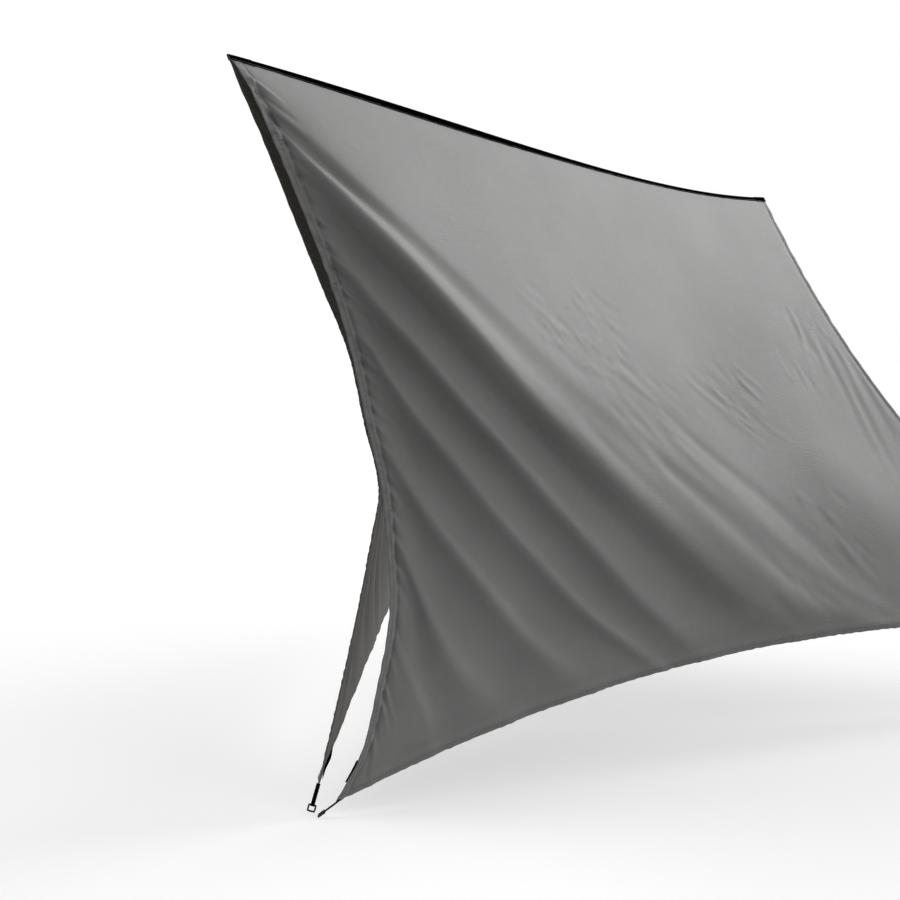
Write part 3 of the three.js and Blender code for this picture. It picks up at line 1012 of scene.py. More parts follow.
@dataclass(frozen=True)
class Finish:
    """What all finishes have: a name and the two tones between which their colour varies."""

    name: str
    tone: str
    other_tone: str

    def end(self, tree: NodeTree, mixed: NodeSocket, look: dict) -> None:
        """Mixes the two tones and ends the tree in a shader.

        Args:
            tree: The material's node tree.
            mixed: How much of the other tone shows, 0 to 1.
            look: The shader's other inputs, by name.
        """
        colour = add_node(tree, "ShaderNodeMix", {"data_type": "RGBA"},
                          {0: mixed, 6: linear(self.tone), 7: linear(self.other_tone)})
        shader = add_node(tree, "ShaderNodeBsdfPrincipled", {}, {"Base Color": colour.outputs[2], **look})
        add_node(tree, "ShaderNodeOutputMaterial", {}, {"Surface": shader.outputs[0]})


@dataclass(frozen=True)
class CoatedCloth(Finish):
    """Plain-weave polyester with a thin coating: a dull face with a faint sheen at the edges.

    Its emission is a painted glow, a faint warm light on the face turned away from the daylight:
    it stands in for daylight that soaks through the cloth.
    """

    sheen: float
    specular: float
    soak_glow_painted: float = 0.0
    roughness: float = 0.6
    # The real threads are 0.25 mm apart, too fine to show, so the weave is drawn at 1.2 mm.
    weave_pitch: float = 1.2 * MM
    weave_depth: float = 0.05 * MM
    crinkle_length: float = 34 * MM
    crinkle_width: float = 7 * MM
    crinkle_depth: float = 0.55 * MM
    crinkle_turn: float = -48.0

    def make(self) -> Material:
        """Builds the material."""
        material, tree = new_material(self.name)
        mapped = add_node(tree, "ShaderNodeUVMap", {"uv_map": "cloth"}).outputs["UV"]
        broad = add_node(tree, "ShaderNodeTexNoise", {"noise_dimensions": "2D"},
                         {"Vector": mapped, "Scale": 2.2, "Detail": 3.0, "Roughness": 0.55})
        mottle = add_node(tree, "ShaderNodeTexNoise", {"noise_dimensions": "2D"},
                          {"Vector": mapped, "Scale": 42.0, "Detail": 4.0, "Roughness": 0.6})
        both = add_node(tree, "ShaderNodeMath", {"operation": "MULTIPLY_ADD"},
                        {0: mottle.outputs["Fac"], 1: 0.4, 2: broad.outputs["Fac"]})
        mixed = add_node(tree, "ShaderNodeMapRange", {},
                         {"Value": both.outputs[0], "From Min": 0.45, "From Max": 0.95})
        height = add_node(tree, "ShaderNodeMath", {"operation": "ADD"},
                          {0: self.weave(tree, mapped), 1: self.crinkle(tree, mapped)})
        bump = add_node(tree, "ShaderNodeBump", {},
                        {"Height": height.outputs[0], "Strength": 1.0, "Distance": 1.0})
        self.end(tree, mixed.outputs[0],
                 {"Roughness": self.roughness, "Specular IOR Level": self.specular,
                  "Sheen Weight": self.sheen, "Sheen Roughness": 0.45,
                  # The emission is a painted glow, standing in for daylight that soaks through the cloth.
                  "Emission Color": (1.0, 0.92, 0.8, 1.0), "Emission Strength": self.soak_glow_painted,
                  "Normal": bump.outputs[0]})
        return material

    def weave(self, tree: NodeTree, mapped: NodeSocket) -> NodeSocket:
        """Height of the threads, over and under, in metres."""
        waves = thread_waves(tree, mapped, (2 * math.pi / self.weave_pitch,) * 2)
        crossed = add_node(tree, "ShaderNodeMath", {"operation": "MULTIPLY"}, {0: waves[0], 1: waves[1]})
        scaled = add_node(tree, "ShaderNodeMath", {"operation": "MULTIPLY"},
                          {0: crossed.outputs[0], 1: self.weave_depth})
        return scaled.outputs[0]

    def crinkle(self, tree: NodeTree, mapped: NodeSocket) -> NodeSocket:
        """Adds the fine drawn-out crinkles of packed cloth, in scattered patches.

        Args:
            tree: The node tree.
            mapped: The cloth's map.

        Returns:
            The socket of their height, in metres.
        """
        turned = add_node(tree, "ShaderNodeMapping", {},
                          {"Vector": mapped, "Rotation": (0.0, 0.0, math.radians(self.crinkle_turn)),
                           "Scale": (1 / self.crinkle_length, 1 / self.crinkle_width, 1.0)})
        lines = add_node(tree, "ShaderNodeTexNoise", {"noise_dimensions": "2D"},
                         {"Vector": turned.outputs[0], "Scale": 1.0, "Detail": 2.0, "Distortion": 0.6})
        patches = add_node(tree, "ShaderNodeTexNoise", {"noise_dimensions": "2D"},
                           {"Vector": mapped, "Scale": 3.4, "Detail": 2.0})
        shown = add_node(tree, "ShaderNodeMapRange", {"interpolation_type": "SMOOTHSTEP"},
                         {"Value": patches.outputs["Fac"], "From Min": 0.42, "From Max": 0.72,
                          "To Min": 0.12, "To Max": 1.0})
        masked = add_node(tree, "ShaderNodeMath", {"operation": "MULTIPLY"},
                          {0: lines.outputs["Fac"], 1: shown.outputs[0]})
        scaled = add_node(tree, "ShaderNodeMath", {"operation": "MULTIPLY"},
                          {0: masked.outputs[0], 1: self.crinkle_depth})
        return scaled.outputs[0]


@dataclass(frozen=True)
class Webbing(Finish):
    """Flat-woven polyester webbing, dyed black: ribs across it and a dull, slightly fuzzy face."""

    roughness: float = 0.78
    # Real ribs are 0.9 mm apart; they are drawn at 1.5 mm, to show at all.
    rib_pitch: float = 1.5 * MM
    rib_depth: float = 0.1 * MM

    def make(self) -> Material:
        """Builds the material."""
        material, tree = new_material(self.name)
        mapped = add_node(tree, "ShaderNodeUVMap", {"uv_map": "cloth"}).outputs["UV"]
        ribs = 2 * math.pi / self.rib_pitch
        waves = thread_waves(tree, mapped, (ribs, ribs / 2))
        woven = add_node(tree, "ShaderNodeMath", {"operation": "MULTIPLY_ADD"},
                         {0: waves[1], 1: 0.35, 2: waves[0]})
        scaled = add_node(tree, "ShaderNodeMath", {"operation": "MULTIPLY"},
                          {0: woven.outputs[0], 1: self.rib_depth})
        bump = add_node(tree, "ShaderNodeBump", {},
                        {"Height": scaled.outputs[0], "Strength": 0.8, "Distance": 1.0})
        fuzz = add_node(tree, "ShaderNodeTexNoise", {"noise_dimensions": "2D"},
                        {"Vector": mapped, "Scale": 160.0, "Detail": 3.0})
        mixed = add_node(tree, "ShaderNodeMapRange", {},
                         {"Value": fuzz.outputs["Fac"], "From Min": 0.35, "From Max": 0.7})
        self.end(tree, mixed.outputs[0],
                 {"Roughness": self.roughness, "Specular IOR Level": 0.0, "Normal": bump.outputs[0]})
        return material


@dataclass(frozen=True)
class Moulded(Finish):
    """Acetal, injection moulded in black: a satin face with a faint grain of the mould."""

    roughness: float = 0.6
    grain: float = 0.8 * MM
    grain_depth: float = 0.1 * MM

    def make(self) -> Material:
        """Builds the material."""
        material, tree = new_material(self.name)
        place = add_node(tree, "ShaderNodeTexCoord").outputs["Object"]
        grain = add_node(tree, "ShaderNodeTexNoise", {},
                         {"Vector": place, "Scale": 1 / self.grain, "Detail": 3.0})
        bump = add_node(tree, "ShaderNodeBump", {},
                        {"Height": grain.outputs["Fac"], "Strength": 0.25, "Distance": self.grain_depth})
        self.end(tree, grain.outputs["Fac"],
                 {"Roughness": self.roughness, "IOR": 1.48, "Specular IOR Level": 0.3,
                  "Normal": bump.outputs[0]})
        return material


@dataclass(frozen=True)
class Thread(Finish):
    """Bonded polyester sewing thread: a little shinier than the cloth it lies on."""

    twist: float = 0.7 * MM

    def make(self) -> Material:
        """Builds the material."""
        material, tree = new_material(self.name)
        place = add_node(tree, "ShaderNodeTexCoord").outputs["Object"]
        twist = add_node(tree, "ShaderNodeTexNoise", {}, {"Vector": place, "Scale": 1 / self.twist})
        self.end(tree, twist.outputs["Fac"], {"Roughness": 0.5, "Sheen Weight": 0.2})
        return material


class Finishes:
    """The finishes of the tarp's pieces, each made once."""

    def __init__(self) -> None:
        """Builds every material."""
        face = CoatedCloth("coated_polyester_face", "818180", "8A8A89", sheen=0.12, specular=0.22)
        # The inside finish is a darker copy of the face: painted shade for the shaded inner face of the
        # cloth.
        inside = CoatedCloth("coated_polyester_inside_painted_shade", "474541", "4E4B47", sheen=0.03, specular=0.08,
                             # A faint painted glow, standing in for daylight that soaks through the cloth.
                             soak_glow_painted=0.014)
        webbing = Webbing("black_polyester_webbing", "020202", "070707")
        ring = Moulded("moulded_acetal", "050505", "0B0B0B")
        # The grey thread is far darker than the cloth: painted shade for the grooves that the hem stitches
        # draw in.
        grey_thread_painted_shade = Thread("grey_polyester_thread_painted_shade", "2C2C2B", "383837")
        black_thread = Thread("black_polyester_thread", "0E0E0E", "1D1D1D")
        self.cloth: list[Material] = [face.make(), inside.make()]
        self.webbing: list[Material] = [webbing.make()]
        self.ring: list[Material] = [ring.make()]
        self.grey_thread_painted_shade: list[Material] = [grey_thread_painted_shade.make()]
        self.black_thread: list[Material] = [black_thread.make()]


# ------------------------------------------------------------------ sewn lines

# Stitched lines are sampled at this spacing.
LINE_STEP = 5 * MM

# A line on the cloth and the outward directions there.
SewnLine = tuple[Array, Array]


@dataclass
class StitchLine:
    """A row of lockstitches: each a short grain of thread, laid along a line on the cloth."""

    pitch: float = 4.6 * MM
    length: float = 3.6 * MM
    breadth: float = 1.5 * MM
    height: float = 0.9 * MM

    def grains(self, line: Array, outward: Array) -> tuple[Array, Array, Array]:
        """Spaces stitches evenly on a line.

        Args:
            line: The line's points.
            outward: The outward directions there.

        Returns:
            The stitches' centres, directions and outward directions.
        """
        steps = np.linalg.norm(np.diff(line, axis=0), axis=1)
        distance = np.concatenate([[0.0], np.cumsum(steps)])
        at = np.arange(self.pitch / 2, distance[-1], self.pitch)

        def read(rows: Array, places: Array) -> Array:
            """Reads the rows of a line at distances along it."""
            return np.stack([np.interp(places, distance, rows[:, k]) for k in range(3)], axis=-1)

        run = read(line, at + self.pitch / 2) - read(line, at - self.pitch / 2)
        return read(line, at), run / np.linalg.norm(run, axis=1, keepdims=True), read(outward, at)

    def build(
        self,
        name: str,
        lines: Sequence[SewnLine],
        thread: Sequence[Material],
        slot: str,
    ) -> Object:
        """Makes one mesh of all the stitches on some lines.

        Args:
            name: The piece's name.
            lines: The lines that are sewn.
            thread: The thread's finish.
            slot: Not used.

        Returns:
            The new piece.
        """
        seed = bmesh.new()
        bmesh.ops.create_icosphere(seed, subdivisions=1, radius=0.5)
        grain = bpy.data.meshes.new("grain")
        seed.to_mesh(grain)
        seed.free()
        shape = np.empty(len(grain.vertices) * 3)
        grain.vertices.foreach_get("co", shape)
        shape = shape.reshape(-1, 3) * np.array([self.length, self.breadth, self.height])
        groups = [self.grains(line, outward) for line, outward in lines]
        centres, runs, outs = (np.concatenate([group[k] for group in groups]) for k in range(3))
        sides = np.cross(outs, runs)
        sides = sides / np.linalg.norm(sides, axis=1, keepdims=True)
        axes = np.stack([runs, sides, np.cross(runs, sides)], axis=1)
        placed = centres[:, None, :] + np.einsum("vk,nkc->nvc", shape, axes)
        bm = bmesh.new()
        for _ in range(len(centres)):
            bm.from_mesh(grain)
        mesh = bpy.data.meshes.new(name)
        bm.to_mesh(mesh)
        bm.free()
        bpy.data.meshes.remove(grain)
        mesh.vertices.foreach_set("co", placed.ravel())
        mesh.update()
        return finish_piece(mesh, thread)


# ------------------------------------------------------------------ panels and hems


@dataclass
class HemStrip:
    """The turned edge of a panel: a flat tube of cloth round the edge, puckered by its stitches.

    step is the length of its faces, draw is added to the panel's seed, and stitched gives the
    rows of stitches as shares of its width.
    """

    panel: PanelShape
    edge: Edge
    length: float
    step: float
    draw: int
    pucker: float
    width: float = 24 * MM
    stitched: tuple[float, ...] = (0.85,)
    half_thickness: float = 1.5 * MM
    rounded_share: float = 0.12
    tucked_share: float = 0.26
    pucker_length: float = 21 * MM
    pucker_power: float = 0.7
    ripple: float = 0.9 * MM
    ripple_length: float = 60 * MM
    row_start: float = 0.004
    thread_lift: float = 0.15 * MM
    around: int = 18

    @property
    def seed(self) -> int:
        """What sets the strip's puckers."""
        return self.panel.seed + self.draw

    def inward(self, around: Array) -> Array:
        """Distance in from the edge at each fraction round the strip."""
        return self.width * np.abs(2 * around - 1)

    def swell(self, run: Array, inward: Array) -> Array:
        """Reads the strip's half thickness: round at the edge and drawn in at the stitches.

        Args:
            run: Distance along the edge, in metres.
            inward: Distance in from the edge, in metres.

        Returns:
            Half the thickness at each place, in metres.
        """
        share = inward / self.width
        rounded = np.sqrt(np.clip(share / self.rounded_share, 0, 1))
        tucked = 1 - smooth_step((share - 1 + self.tucked_share) / self.tucked_share)
        arch = np.sin(math.pi * np.clip(share, 0, 1)) ** self.pucker_power
        puckers = Wobble(self.seed, self.pucker_length)(run) * arch
        return self.half_thickness * rounded * tucked + self.pucker * puckers * rounded

    def place(self, x: Array, y: Array) -> Array:
        """Points of the strip: x runs along the edge and y round the strip."""
        run = x * self.length
        inward = self.inward(y)
        wave = Wobble(self.seed + 1, self.ripple_length)(run) * (1 - inward / self.width)
        along, down = self.edge.place(x, inward + self.ripple * wave)
        return self.panel.surface(along, down, np.where(y < 0.5, 1.0, -1.0) * self.swell(run, inward))

    def texture(self, x: Array, y: Array) -> Pair:
        """Map coordinates of the strip."""
        return x * self.length, self.inward(y)

    def build(self, finishes: Finishes) -> Object:
        """Makes the strip."""
        name = f"{self.panel.name}_hem_{self.edge.value}"
        columns = round(self.length / self.step)
        # The inner half of the strip takes the second finish, darkened as painted shade.
        grid = GridSheet(name, columns, self.around, self.place, self.texture, closed=True, two_faced=True)
        return finish_piece(grid.build(), finishes.cloth)

    def stitch_lines(self) -> list[SewnLine]:
        """The rows of stitches, each on the outer and the inner face."""
        x = np.linspace(self.row_start, 1 - self.row_start, round(self.length / LINE_STEP))
        made = []
        for share in self.stitched:
            inward = np.full_like(x, share * self.width)
            along, down = self.edge.place(x, inward)
            outward = self.panel.outward(along, down)
            lift = self.swell(x * self.length, inward) + self.thread_lift
            for side in (1.0, -1.0):
                made.append((self.panel.surface(along, down, side * lift), side * outward))
        return made


@dataclass
class ClothPanel:
    """One panel of the tarp: its cloth, its three hems and the stitches that hold them."""

    shape: PanelShape
    flat: tuple[float, float] = (3.2, 2.08)
    flat_area: float = 4.85
    thickness: float = 1.2 * MM
    columns: int = 300
    rows: int = 128
    crowding: float = 1.6
    finer_until: float = 0.12
    edge_margin: float = 6 * MM

    def fractions(self, x: Array, y: Array) -> Pair:
        """The panel's fractions at a place of the grid, crowded towards the closed end."""
        start = self.edge_margin / PANEL_ALONG
        return start + (1 - 2 * start) * x**self.crowding, y * (1 - self.edge_margin / PANEL_DOWN)

    def place(self, x: Array, y: Array) -> Array:
        """Points of the sheet."""
        return self.shape.surface(*self.fractions(x, y), np.zeros_like(x))

    def texture(self, x: Array, y: Array) -> Pair:
        """Map coordinates of the sheet."""
        along, down = self.fractions(x, y)
        return along * PANEL_ALONG, down * PANEL_DOWN

    def cloth(self, finishes: Finishes) -> Object:
        """Makes the sheet, from the ridge to just inside its hems."""
        grid = GridSheet(f"{self.shape.name}_cloth", self.columns, self.rows, self.place, self.texture,
                         finer_until=self.finer_until)
        mesh = grid.build()
        if self.shape.side is Side.FRONT:
            mesh.flip_normals()
        piece = finish_piece(mesh, finishes.cloth, f"{self.shape.name}_panel")
        # The inner face takes the second finish, darkened as painted shade.
        thicken(piece, self.thickness, inner_slot=1)
        return piece

    def hems(self) -> list[HemStrip]:
        """The strips of the closed edge, the lower edge and the open edge."""
        return [
            HemStrip(self.shape, Edge.CLOSED, 2.05, 3.6 * MM, 41, 1.3 * MM, 35 * MM, (0.9, 0.5)),
            HemStrip(self.shape, Edge.LOWER, 3.0, 4.6 * MM, 51, 0.45 * MM),
            HemStrip(self.shape, Edge.OPEN, 2.1, 4.2 * MM, 61, 0.55 * MM),
        ]

    def build(self, finishes: Finishes) -> tuple[Object, list[Object]]:
        """Makes the panel.

        Args:
            finishes: The tarp's finishes.

        Returns:
            The cloth, and the pieces sewn to it.
        """
        cloth = self.cloth(finishes)
        strips = self.hems()
        sewn = [strip.build(finishes) for strip in strips]
        lines = [line for strip in strips for line in strip.stitch_lines()]
        name = f"{self.shape.name}_hem_stitches"
        # The hem stitches take the dark grey thread, whose colour is painted groove shade.
        sewn.append(StitchLine().build(name, lines, finishes.grey_thread_painted_shade, "cloth"))
        log.info("%s panel: %d pieces", self.shape.name, 1 + len(sewn))
        return cloth, sewn


# ------------------------------------------------------------------ ridge


@dataclass(frozen=True)
class TapeRow:
    """How far the ridge webbing comes down each side, in millimetres, at one place along."""

    along: float
    drop: float


# along, drop
TAPE_DROPS = (
    TapeRow(0.0, 8),
    TapeRow(0.06, 17),
    TapeRow(0.16, 25),
    TapeRow(0.3, 29),
    TapeRow(0.5, 22),
    TapeRow(0.7, 17),
    TapeRow(1.0, 17),
)


@dataclass
class RidgeBand:
    """Webbing folded over the ridge seam, from one fraction of the ridge to another."""

    name: str
    front: PanelShape
    back: PanelShape
    replaced: str
    start: float
    end: float
    extra_drop: float
    stand_off: float
    seed: int
    crown: float = 2.6 * MM
    thickness: float = 1.2 * MM
    step: float = 5 * MM
    across: int = 20
    side_share: float = 0.36
    waviness: float = 0.5 * MM
    wavelength: float = 90 * MM
    breadth: float = 40 * MM
    least_columns: int = 8
    row_start: float = 0.003
    row_inset: float = 3 * MM
    thread_lift: float = 0.1 * MM

    @property
    def length(self) -> float:
        """The band's length along the ridge, in metres."""
        return (self.end - self.start) * PANEL_ALONG

    def along(self, x: Array) -> Array:
        """Fraction along the panel at a fraction of the band."""
        return self.start + (self.end - self.start) * x

    def drop(self, along: Array) -> Array:
        """Depth of the band down each side, in metres."""
        depth = table_curve([row.along for row in TAPE_DROPS], [row.drop for row in TAPE_DROPS], along)
        uneven = self.waviness * Wobble(self.seed, self.wavelength)(along * PANEL_ALONG)
        return depth * MM + self.extra_drop + uneven

    def place(self, x: Array, y: Array) -> Array:
        """Places the band's under face.

        Args:
            x: Fractions along the band.
            y: Fractions across it, from the front to the back.

        Returns:
            One point for each place.
        """
        along = self.along(x)
        drop = self.drop(along)
        lift = np.full_like(along, self.stand_off)
        front, back = (shape.surface(along, np.zeros_like(along), lift) for shape in (self.front, self.back))
        over = np.clip((y - self.side_share) / (1 - 2 * self.side_share), 0, 1)[:, None]
        control = (front + back) / 2 + np.array([0.0, 0.0, self.crown])
        made = (1 - over) ** 2 * front + 2 * over * (1 - over) * control + over**2 * back
        for shape, across in ((self.front, y), (self.back, 1 - y)):
            share = 1 - across / self.side_share
            beside = share > 0
            down = drop[beside] * share[beside] / PANEL_DOWN
            made[beside] = shape.surface(along[beside], down, lift[beside])
        return made

    def texture(self, x: Array, y: Array) -> Pair:
        """Map coordinates of the band."""
        return x * self.length, y * self.breadth

    def build(self, finishes: Finishes) -> Object:
        """Makes the band, with its thickness outward."""
        columns = max(self.least_columns, round(self.length / self.step))
        grid = GridSheet(self.name, columns, self.across, self.place, self.texture)
        piece = finish_piece(grid.build(), finishes.webbing, self.replaced)
        thicken(piece, self.thickness, offset=1.0)
        return piece

    def stitch_lines(self) -> list[SewnLine]:
        """A line of stitches just above the band's lower edge on each side."""
        count = max(self.least_columns, round(self.length / LINE_STEP))
        along = self.along(np.linspace(self.row_start, 1 - self.row_start, count))
        down = (self.drop(along) - self.row_inset) / PANEL_DOWN
        lift = np.full_like(along, self.stand_off + self.thickness + self.thread_lift)
        return [
            (shape.surface(along, down, lift), shape.outward(along, down))
            for shape in (self.front, self.back)
        ]


# ------------------------------------------------------------------ corner fittings


@dataclass
class CornerFitting:
    """A webbing strap with a moulded ring, at one lower corner of the tarp.

    leads is the way that the strap runs out and faces the way that its flat side looks. overlap
    is how far its ends reach past the corner's cut, and gap the air between its two layers.
    """

    name: str
    shape: PanelShape
    along: float
    leads: Triple
    faces: Triple
    length: float
    tail_cut: float = 13 * MM
    width: float = 11 * MM
    ply: float = 1.15 * MM
    gap: float = 0.12 * MM
    overlap: float = 3 * MM
    eye_radius: float = 3.45 * MM
    waist: float = 0.04
    waist_length: float = 6 * MM
    selvedge: float = 0.3 * MM
    strap_grid: tuple[int, int] = (120, 10)
    bar: float = 3.5 * MM
    opening: float = 14 * MM
    side_clearance: float = 2 * MM
    corner_radius: float = 2.6 * MM
    # How far the ring's corners reach round it, how square its corners and its bars are, and how
    # far the bars bulge for that.
    corner_reach: float = 2.2
    corner_power: float = 0.5
    bar_power: float = 0.7
    bar_bulge: float = 1.4
    ring_grid: tuple[int, int] = (120, 20)
    # Lengths of the map round the ring and round its bar.
    ring_round: float = 60 * MM
    bar_round: float = 11 * MM
    tack_inset: float = 2.5 * MM
    first_tack: float = 4 * MM
    last_tack: float = 11 * MM
    thread_lift: float = 0.15 * MM

    def __post_init__(self) -> None:
        """Sets up the fitting's own axes at the corner of the panel."""
        out = np.array(self.leads) / np.linalg.norm(self.leads)
        across = np.cross(self.faces, out)
        across = across / np.linalg.norm(across)
        self.axes = np.stack([out, np.cross(across, out), across])
        corner = self.shape.smooth(np.array([self.along]), np.array([1.0]))[0]
        self.origin = corner - self.tail_cut * out

    def world(self, x: Array, y: Array, z: Array) -> Array:
        """Points given along the strap, through its thickness and across its width."""
        return self.origin + points(x, y, z) @ self.axes

    def strap_path(self, t: Array) -> Pair:
        """Follows the webbing from the cloth, round the ring's bar and back.

        Args:
            t: Fractions of the way.

        Returns:
            The place along the strap and through its thickness, in metres.
        """
        half = (self.ply + self.gap) / 2
        neck = math.asin(half / self.eye_radius)
        straight = self.length - self.eye_radius * math.cos(neck) + self.overlap
        turn = self.eye_radius * (2 * math.pi - 2 * neck)
        s = t * (2 * straight + turn)
        angle = math.pi - neck - (s - straight) / self.eye_radius
        out = np.where(s < straight, s, 2 * straight + turn - s) - self.overlap
        through = np.where(s < straight, half, -half)
        on_arc = (s >= straight) & (s <= straight + turn)
        out = np.where(on_arc, self.length + self.eye_radius * np.cos(angle), out)
        return out, np.where(on_arc, self.eye_radius * np.sin(angle), through)

    def strap_place(self, x: Array, y: Array) -> Array:
        """Points of the webbing, a little waisted where it turns through the ring."""
        out, through = self.strap_path(x)
        waisted = 1 - self.waist * np.exp(-(((out - self.length) / self.waist_length) ** 2))
        return self.world(out, through, (y - 0.5) * self.width * waisted)

    def strap_texture(self, x: Array, y: Array) -> Pair:
        """Map coordinates of the webbing."""
        return x * 2 * self.length, (y - 0.5) * self.width

    def strap(self, finishes: Finishes) -> Object:
        """Makes the strap: one length of webbing folded over the bar."""
        grid = GridSheet(f"{self.name}_strap", *self.strap_grid, self.strap_place, self.strap_texture)
        piece = finish_piece(grid.build(), finishes.webbing, f"strap_{self.name}")
        thicken(piece, self.ply)
        rounded = piece.modifiers.new("selvedge", "BEVEL")
        rounded.width = self.selvedge
        rounded.segments = 2
        rounded.limit_method = "ANGLE"
        return piece

    def ring_place(self, x: Array, y: Array) -> Array:
        """Places the ring's surface.

        Args:
            x: Fractions of the way round the ring.
            y: Fractions of the way round its bar.

        Returns:
            One point for each place.
        """
        half_x = (self.opening + self.bar) / 2
        half_z = self.width / 2 + self.side_clearance + self.bar / 2
        flat_x = half_x - self.corner_radius
        flat_z = half_z - self.corner_radius
        cosine = np.cos(2 * math.pi * x)
        sine = np.sin(2 * math.pi * x)
        corner_x = np.clip(self.corner_reach * half_x * cosine, -flat_x, flat_x)
        corner_z = np.clip(self.corner_reach * half_z * sine, -flat_z, flat_z)
        out_x = np.sign(cosine) * np.abs(cosine) ** self.corner_power
        out_z = np.sign(sine) * np.abs(sine) ** self.corner_power
        size = np.hypot(out_x, out_z)
        swing = 2 * math.pi * y
        bulge = self.bar / 2 * self.bar_bulge
        radial = bulge * np.sign(np.cos(swing)) * np.abs(np.cos(swing)) ** self.bar_power
        lift = bulge * np.sign(np.sin(swing)) * np.abs(np.sin(swing)) ** self.bar_power
        reach = (self.corner_radius + radial) / size
        middle = self.length + half_x
        return self.world(middle + corner_x + out_x * reach, lift, corner_z + out_z * reach)

    def ring_texture(self, x: Array, y: Array) -> Pair:
        """Map coordinates of the ring."""
        return x * self.ring_round, y * self.bar_round

    def ring(self, finishes: Finishes) -> Object:
        """Makes the rectangular ring, with rounded bars."""
        name = f"{self.name}_ring"
        grid = GridSheet(name, *self.ring_grid, self.ring_place, self.ring_texture, closed=True)
        return finish_piece(grid.build(), finishes.ring, f"ring_{self.name}")

    def stitch_lines(self) -> list[SewnLine]:
        """Bar tacks across the strap, beside its eye and at the cloth, and two lines between."""
        half = self.width / 2 - self.tack_inset
        near = self.first_tack
        far = self.length - self.last_tack
        ways = (((near, near), (-half, half)), ((far, far), (-half, half)),
                ((near, far), (-half, -half)), ((near, far), (half, half)))
        made = []
        for side in (1.0, -1.0):
            level = side * (self.ply + self.thread_lift)
            outward = np.array([side * self.axes[1]] * 2)
            made += [(self.world(np.array(out), level, np.array(across)), outward) for out, across in ways]
        return made

    def build(self, finishes: Finishes) -> list[Object]:
        """Makes the strap, its ring and its stitches."""
        sewn = StitchLine(pitch=2.6 * MM, length=1.9 * MM, breadth=0.7 * MM, height=0.5 * MM)
        name = f"{self.name}_strap_stitches"
        stitches = sewn.build(name, self.stitch_lines(), finishes.black_thread, "webbing")
        log.info("%s strap and ring", self.name)
        return [self.strap(finishes), self.ring(finishes), stitches]


@dataclass
class EdgeTab:
    """A short strip of webbing sewn behind a hem, standing a little proud of it."""

    name: str
    shape: PanelShape
    replaced: str
    edge: Edge
    start: float
    end: float
    run: float
    proud: float = 5 * MM
    hidden: float = 12 * MM
    thickness: float = 1.5 * MM
    behind: float = 1.9 * MM
    columns: int = 36
    rows: int = 8

    @property
    def depth(self) -> float:
        """Breadth of the strip, in metres."""
        return self.proud + self.hidden

    def place(self, x: Array, y: Array) -> Array:
        """Points of the strip: x runs along the edge and y in from it."""
        run = self.start + (self.end - self.start) * x
        along, down = self.edge.place(run, y * self.depth - self.proud)
        return self.shape.surface(along, down, np.full_like(x, -self.behind))

    def texture(self, x: Array, y: Array) -> Pair:
        """Map coordinates of the strip."""
        return x * self.run, y * self.depth

    def build(self, finishes: Finishes) -> Object:
        """Makes the strip on the inner face of the cloth."""
        grid = GridSheet(self.name, self.columns, self.rows, self.place, self.texture)
        piece = finish_piece(grid.build(), finishes.webbing, self.replaced)
        thicken(piece, self.thickness)
        log.info("%s", self.name)
        return piece


# ------------------------------------------------------------------ studio


@dataclass(frozen=True)
class Sun:
    """One far, wide soft light, which falls evenly on everything.

    towards is the direction in which it stands, spread its width in degrees, which sets how soft
    its shadows are, and strength its watts for each square metre.
    """

    name: str
    towards: Triple
    spread: float
    strength: float

    def build(self) -> None:
        """Adds the light."""
        data = bpy.data.lights.new(self.name, "SUN")
        data.angle = math.radians(self.spread)
        data.energy = self.strength
        light = link(self.name, data)
        light.rotation_euler = (-Vector(self.towards)).to_track_quat("-Z", "Y").to_euler()


# name, towards, spread, strength
SUNS = (
    Sun("key", (1.0, -0.32, 0.35), 40.0, 2.28),
    Sun("fill", (0.25, -1.0, 0.4), 60.0, 1.02),
    Sun("top", (0.45, 0.45, 1.0), 80.0, 0.55),
    Sun("back", (-0.1, 1.0, 0.55), 60.0, 1.2),
)


def seen_rays(tree: NodeTree) -> NodeSocket:
    """Adds what is 1 for camera, glossy and transmission rays and 0 for all others.

    Args:
        tree: The node tree.

    Returns:
        The socket that gives it.
    """
    path = add_node(tree, "ShaderNodeLightPath")
    seen = path.outputs["Is Camera Ray"]
    for other in ("Is Glossy Ray", "Is Transmission Ray"):
        either = add_node(tree, "ShaderNodeMath", {"operation": "MAXIMUM"}, {0: seen, 1: path.outputs[other]})
        seen = either.outputs[0]
    return seen


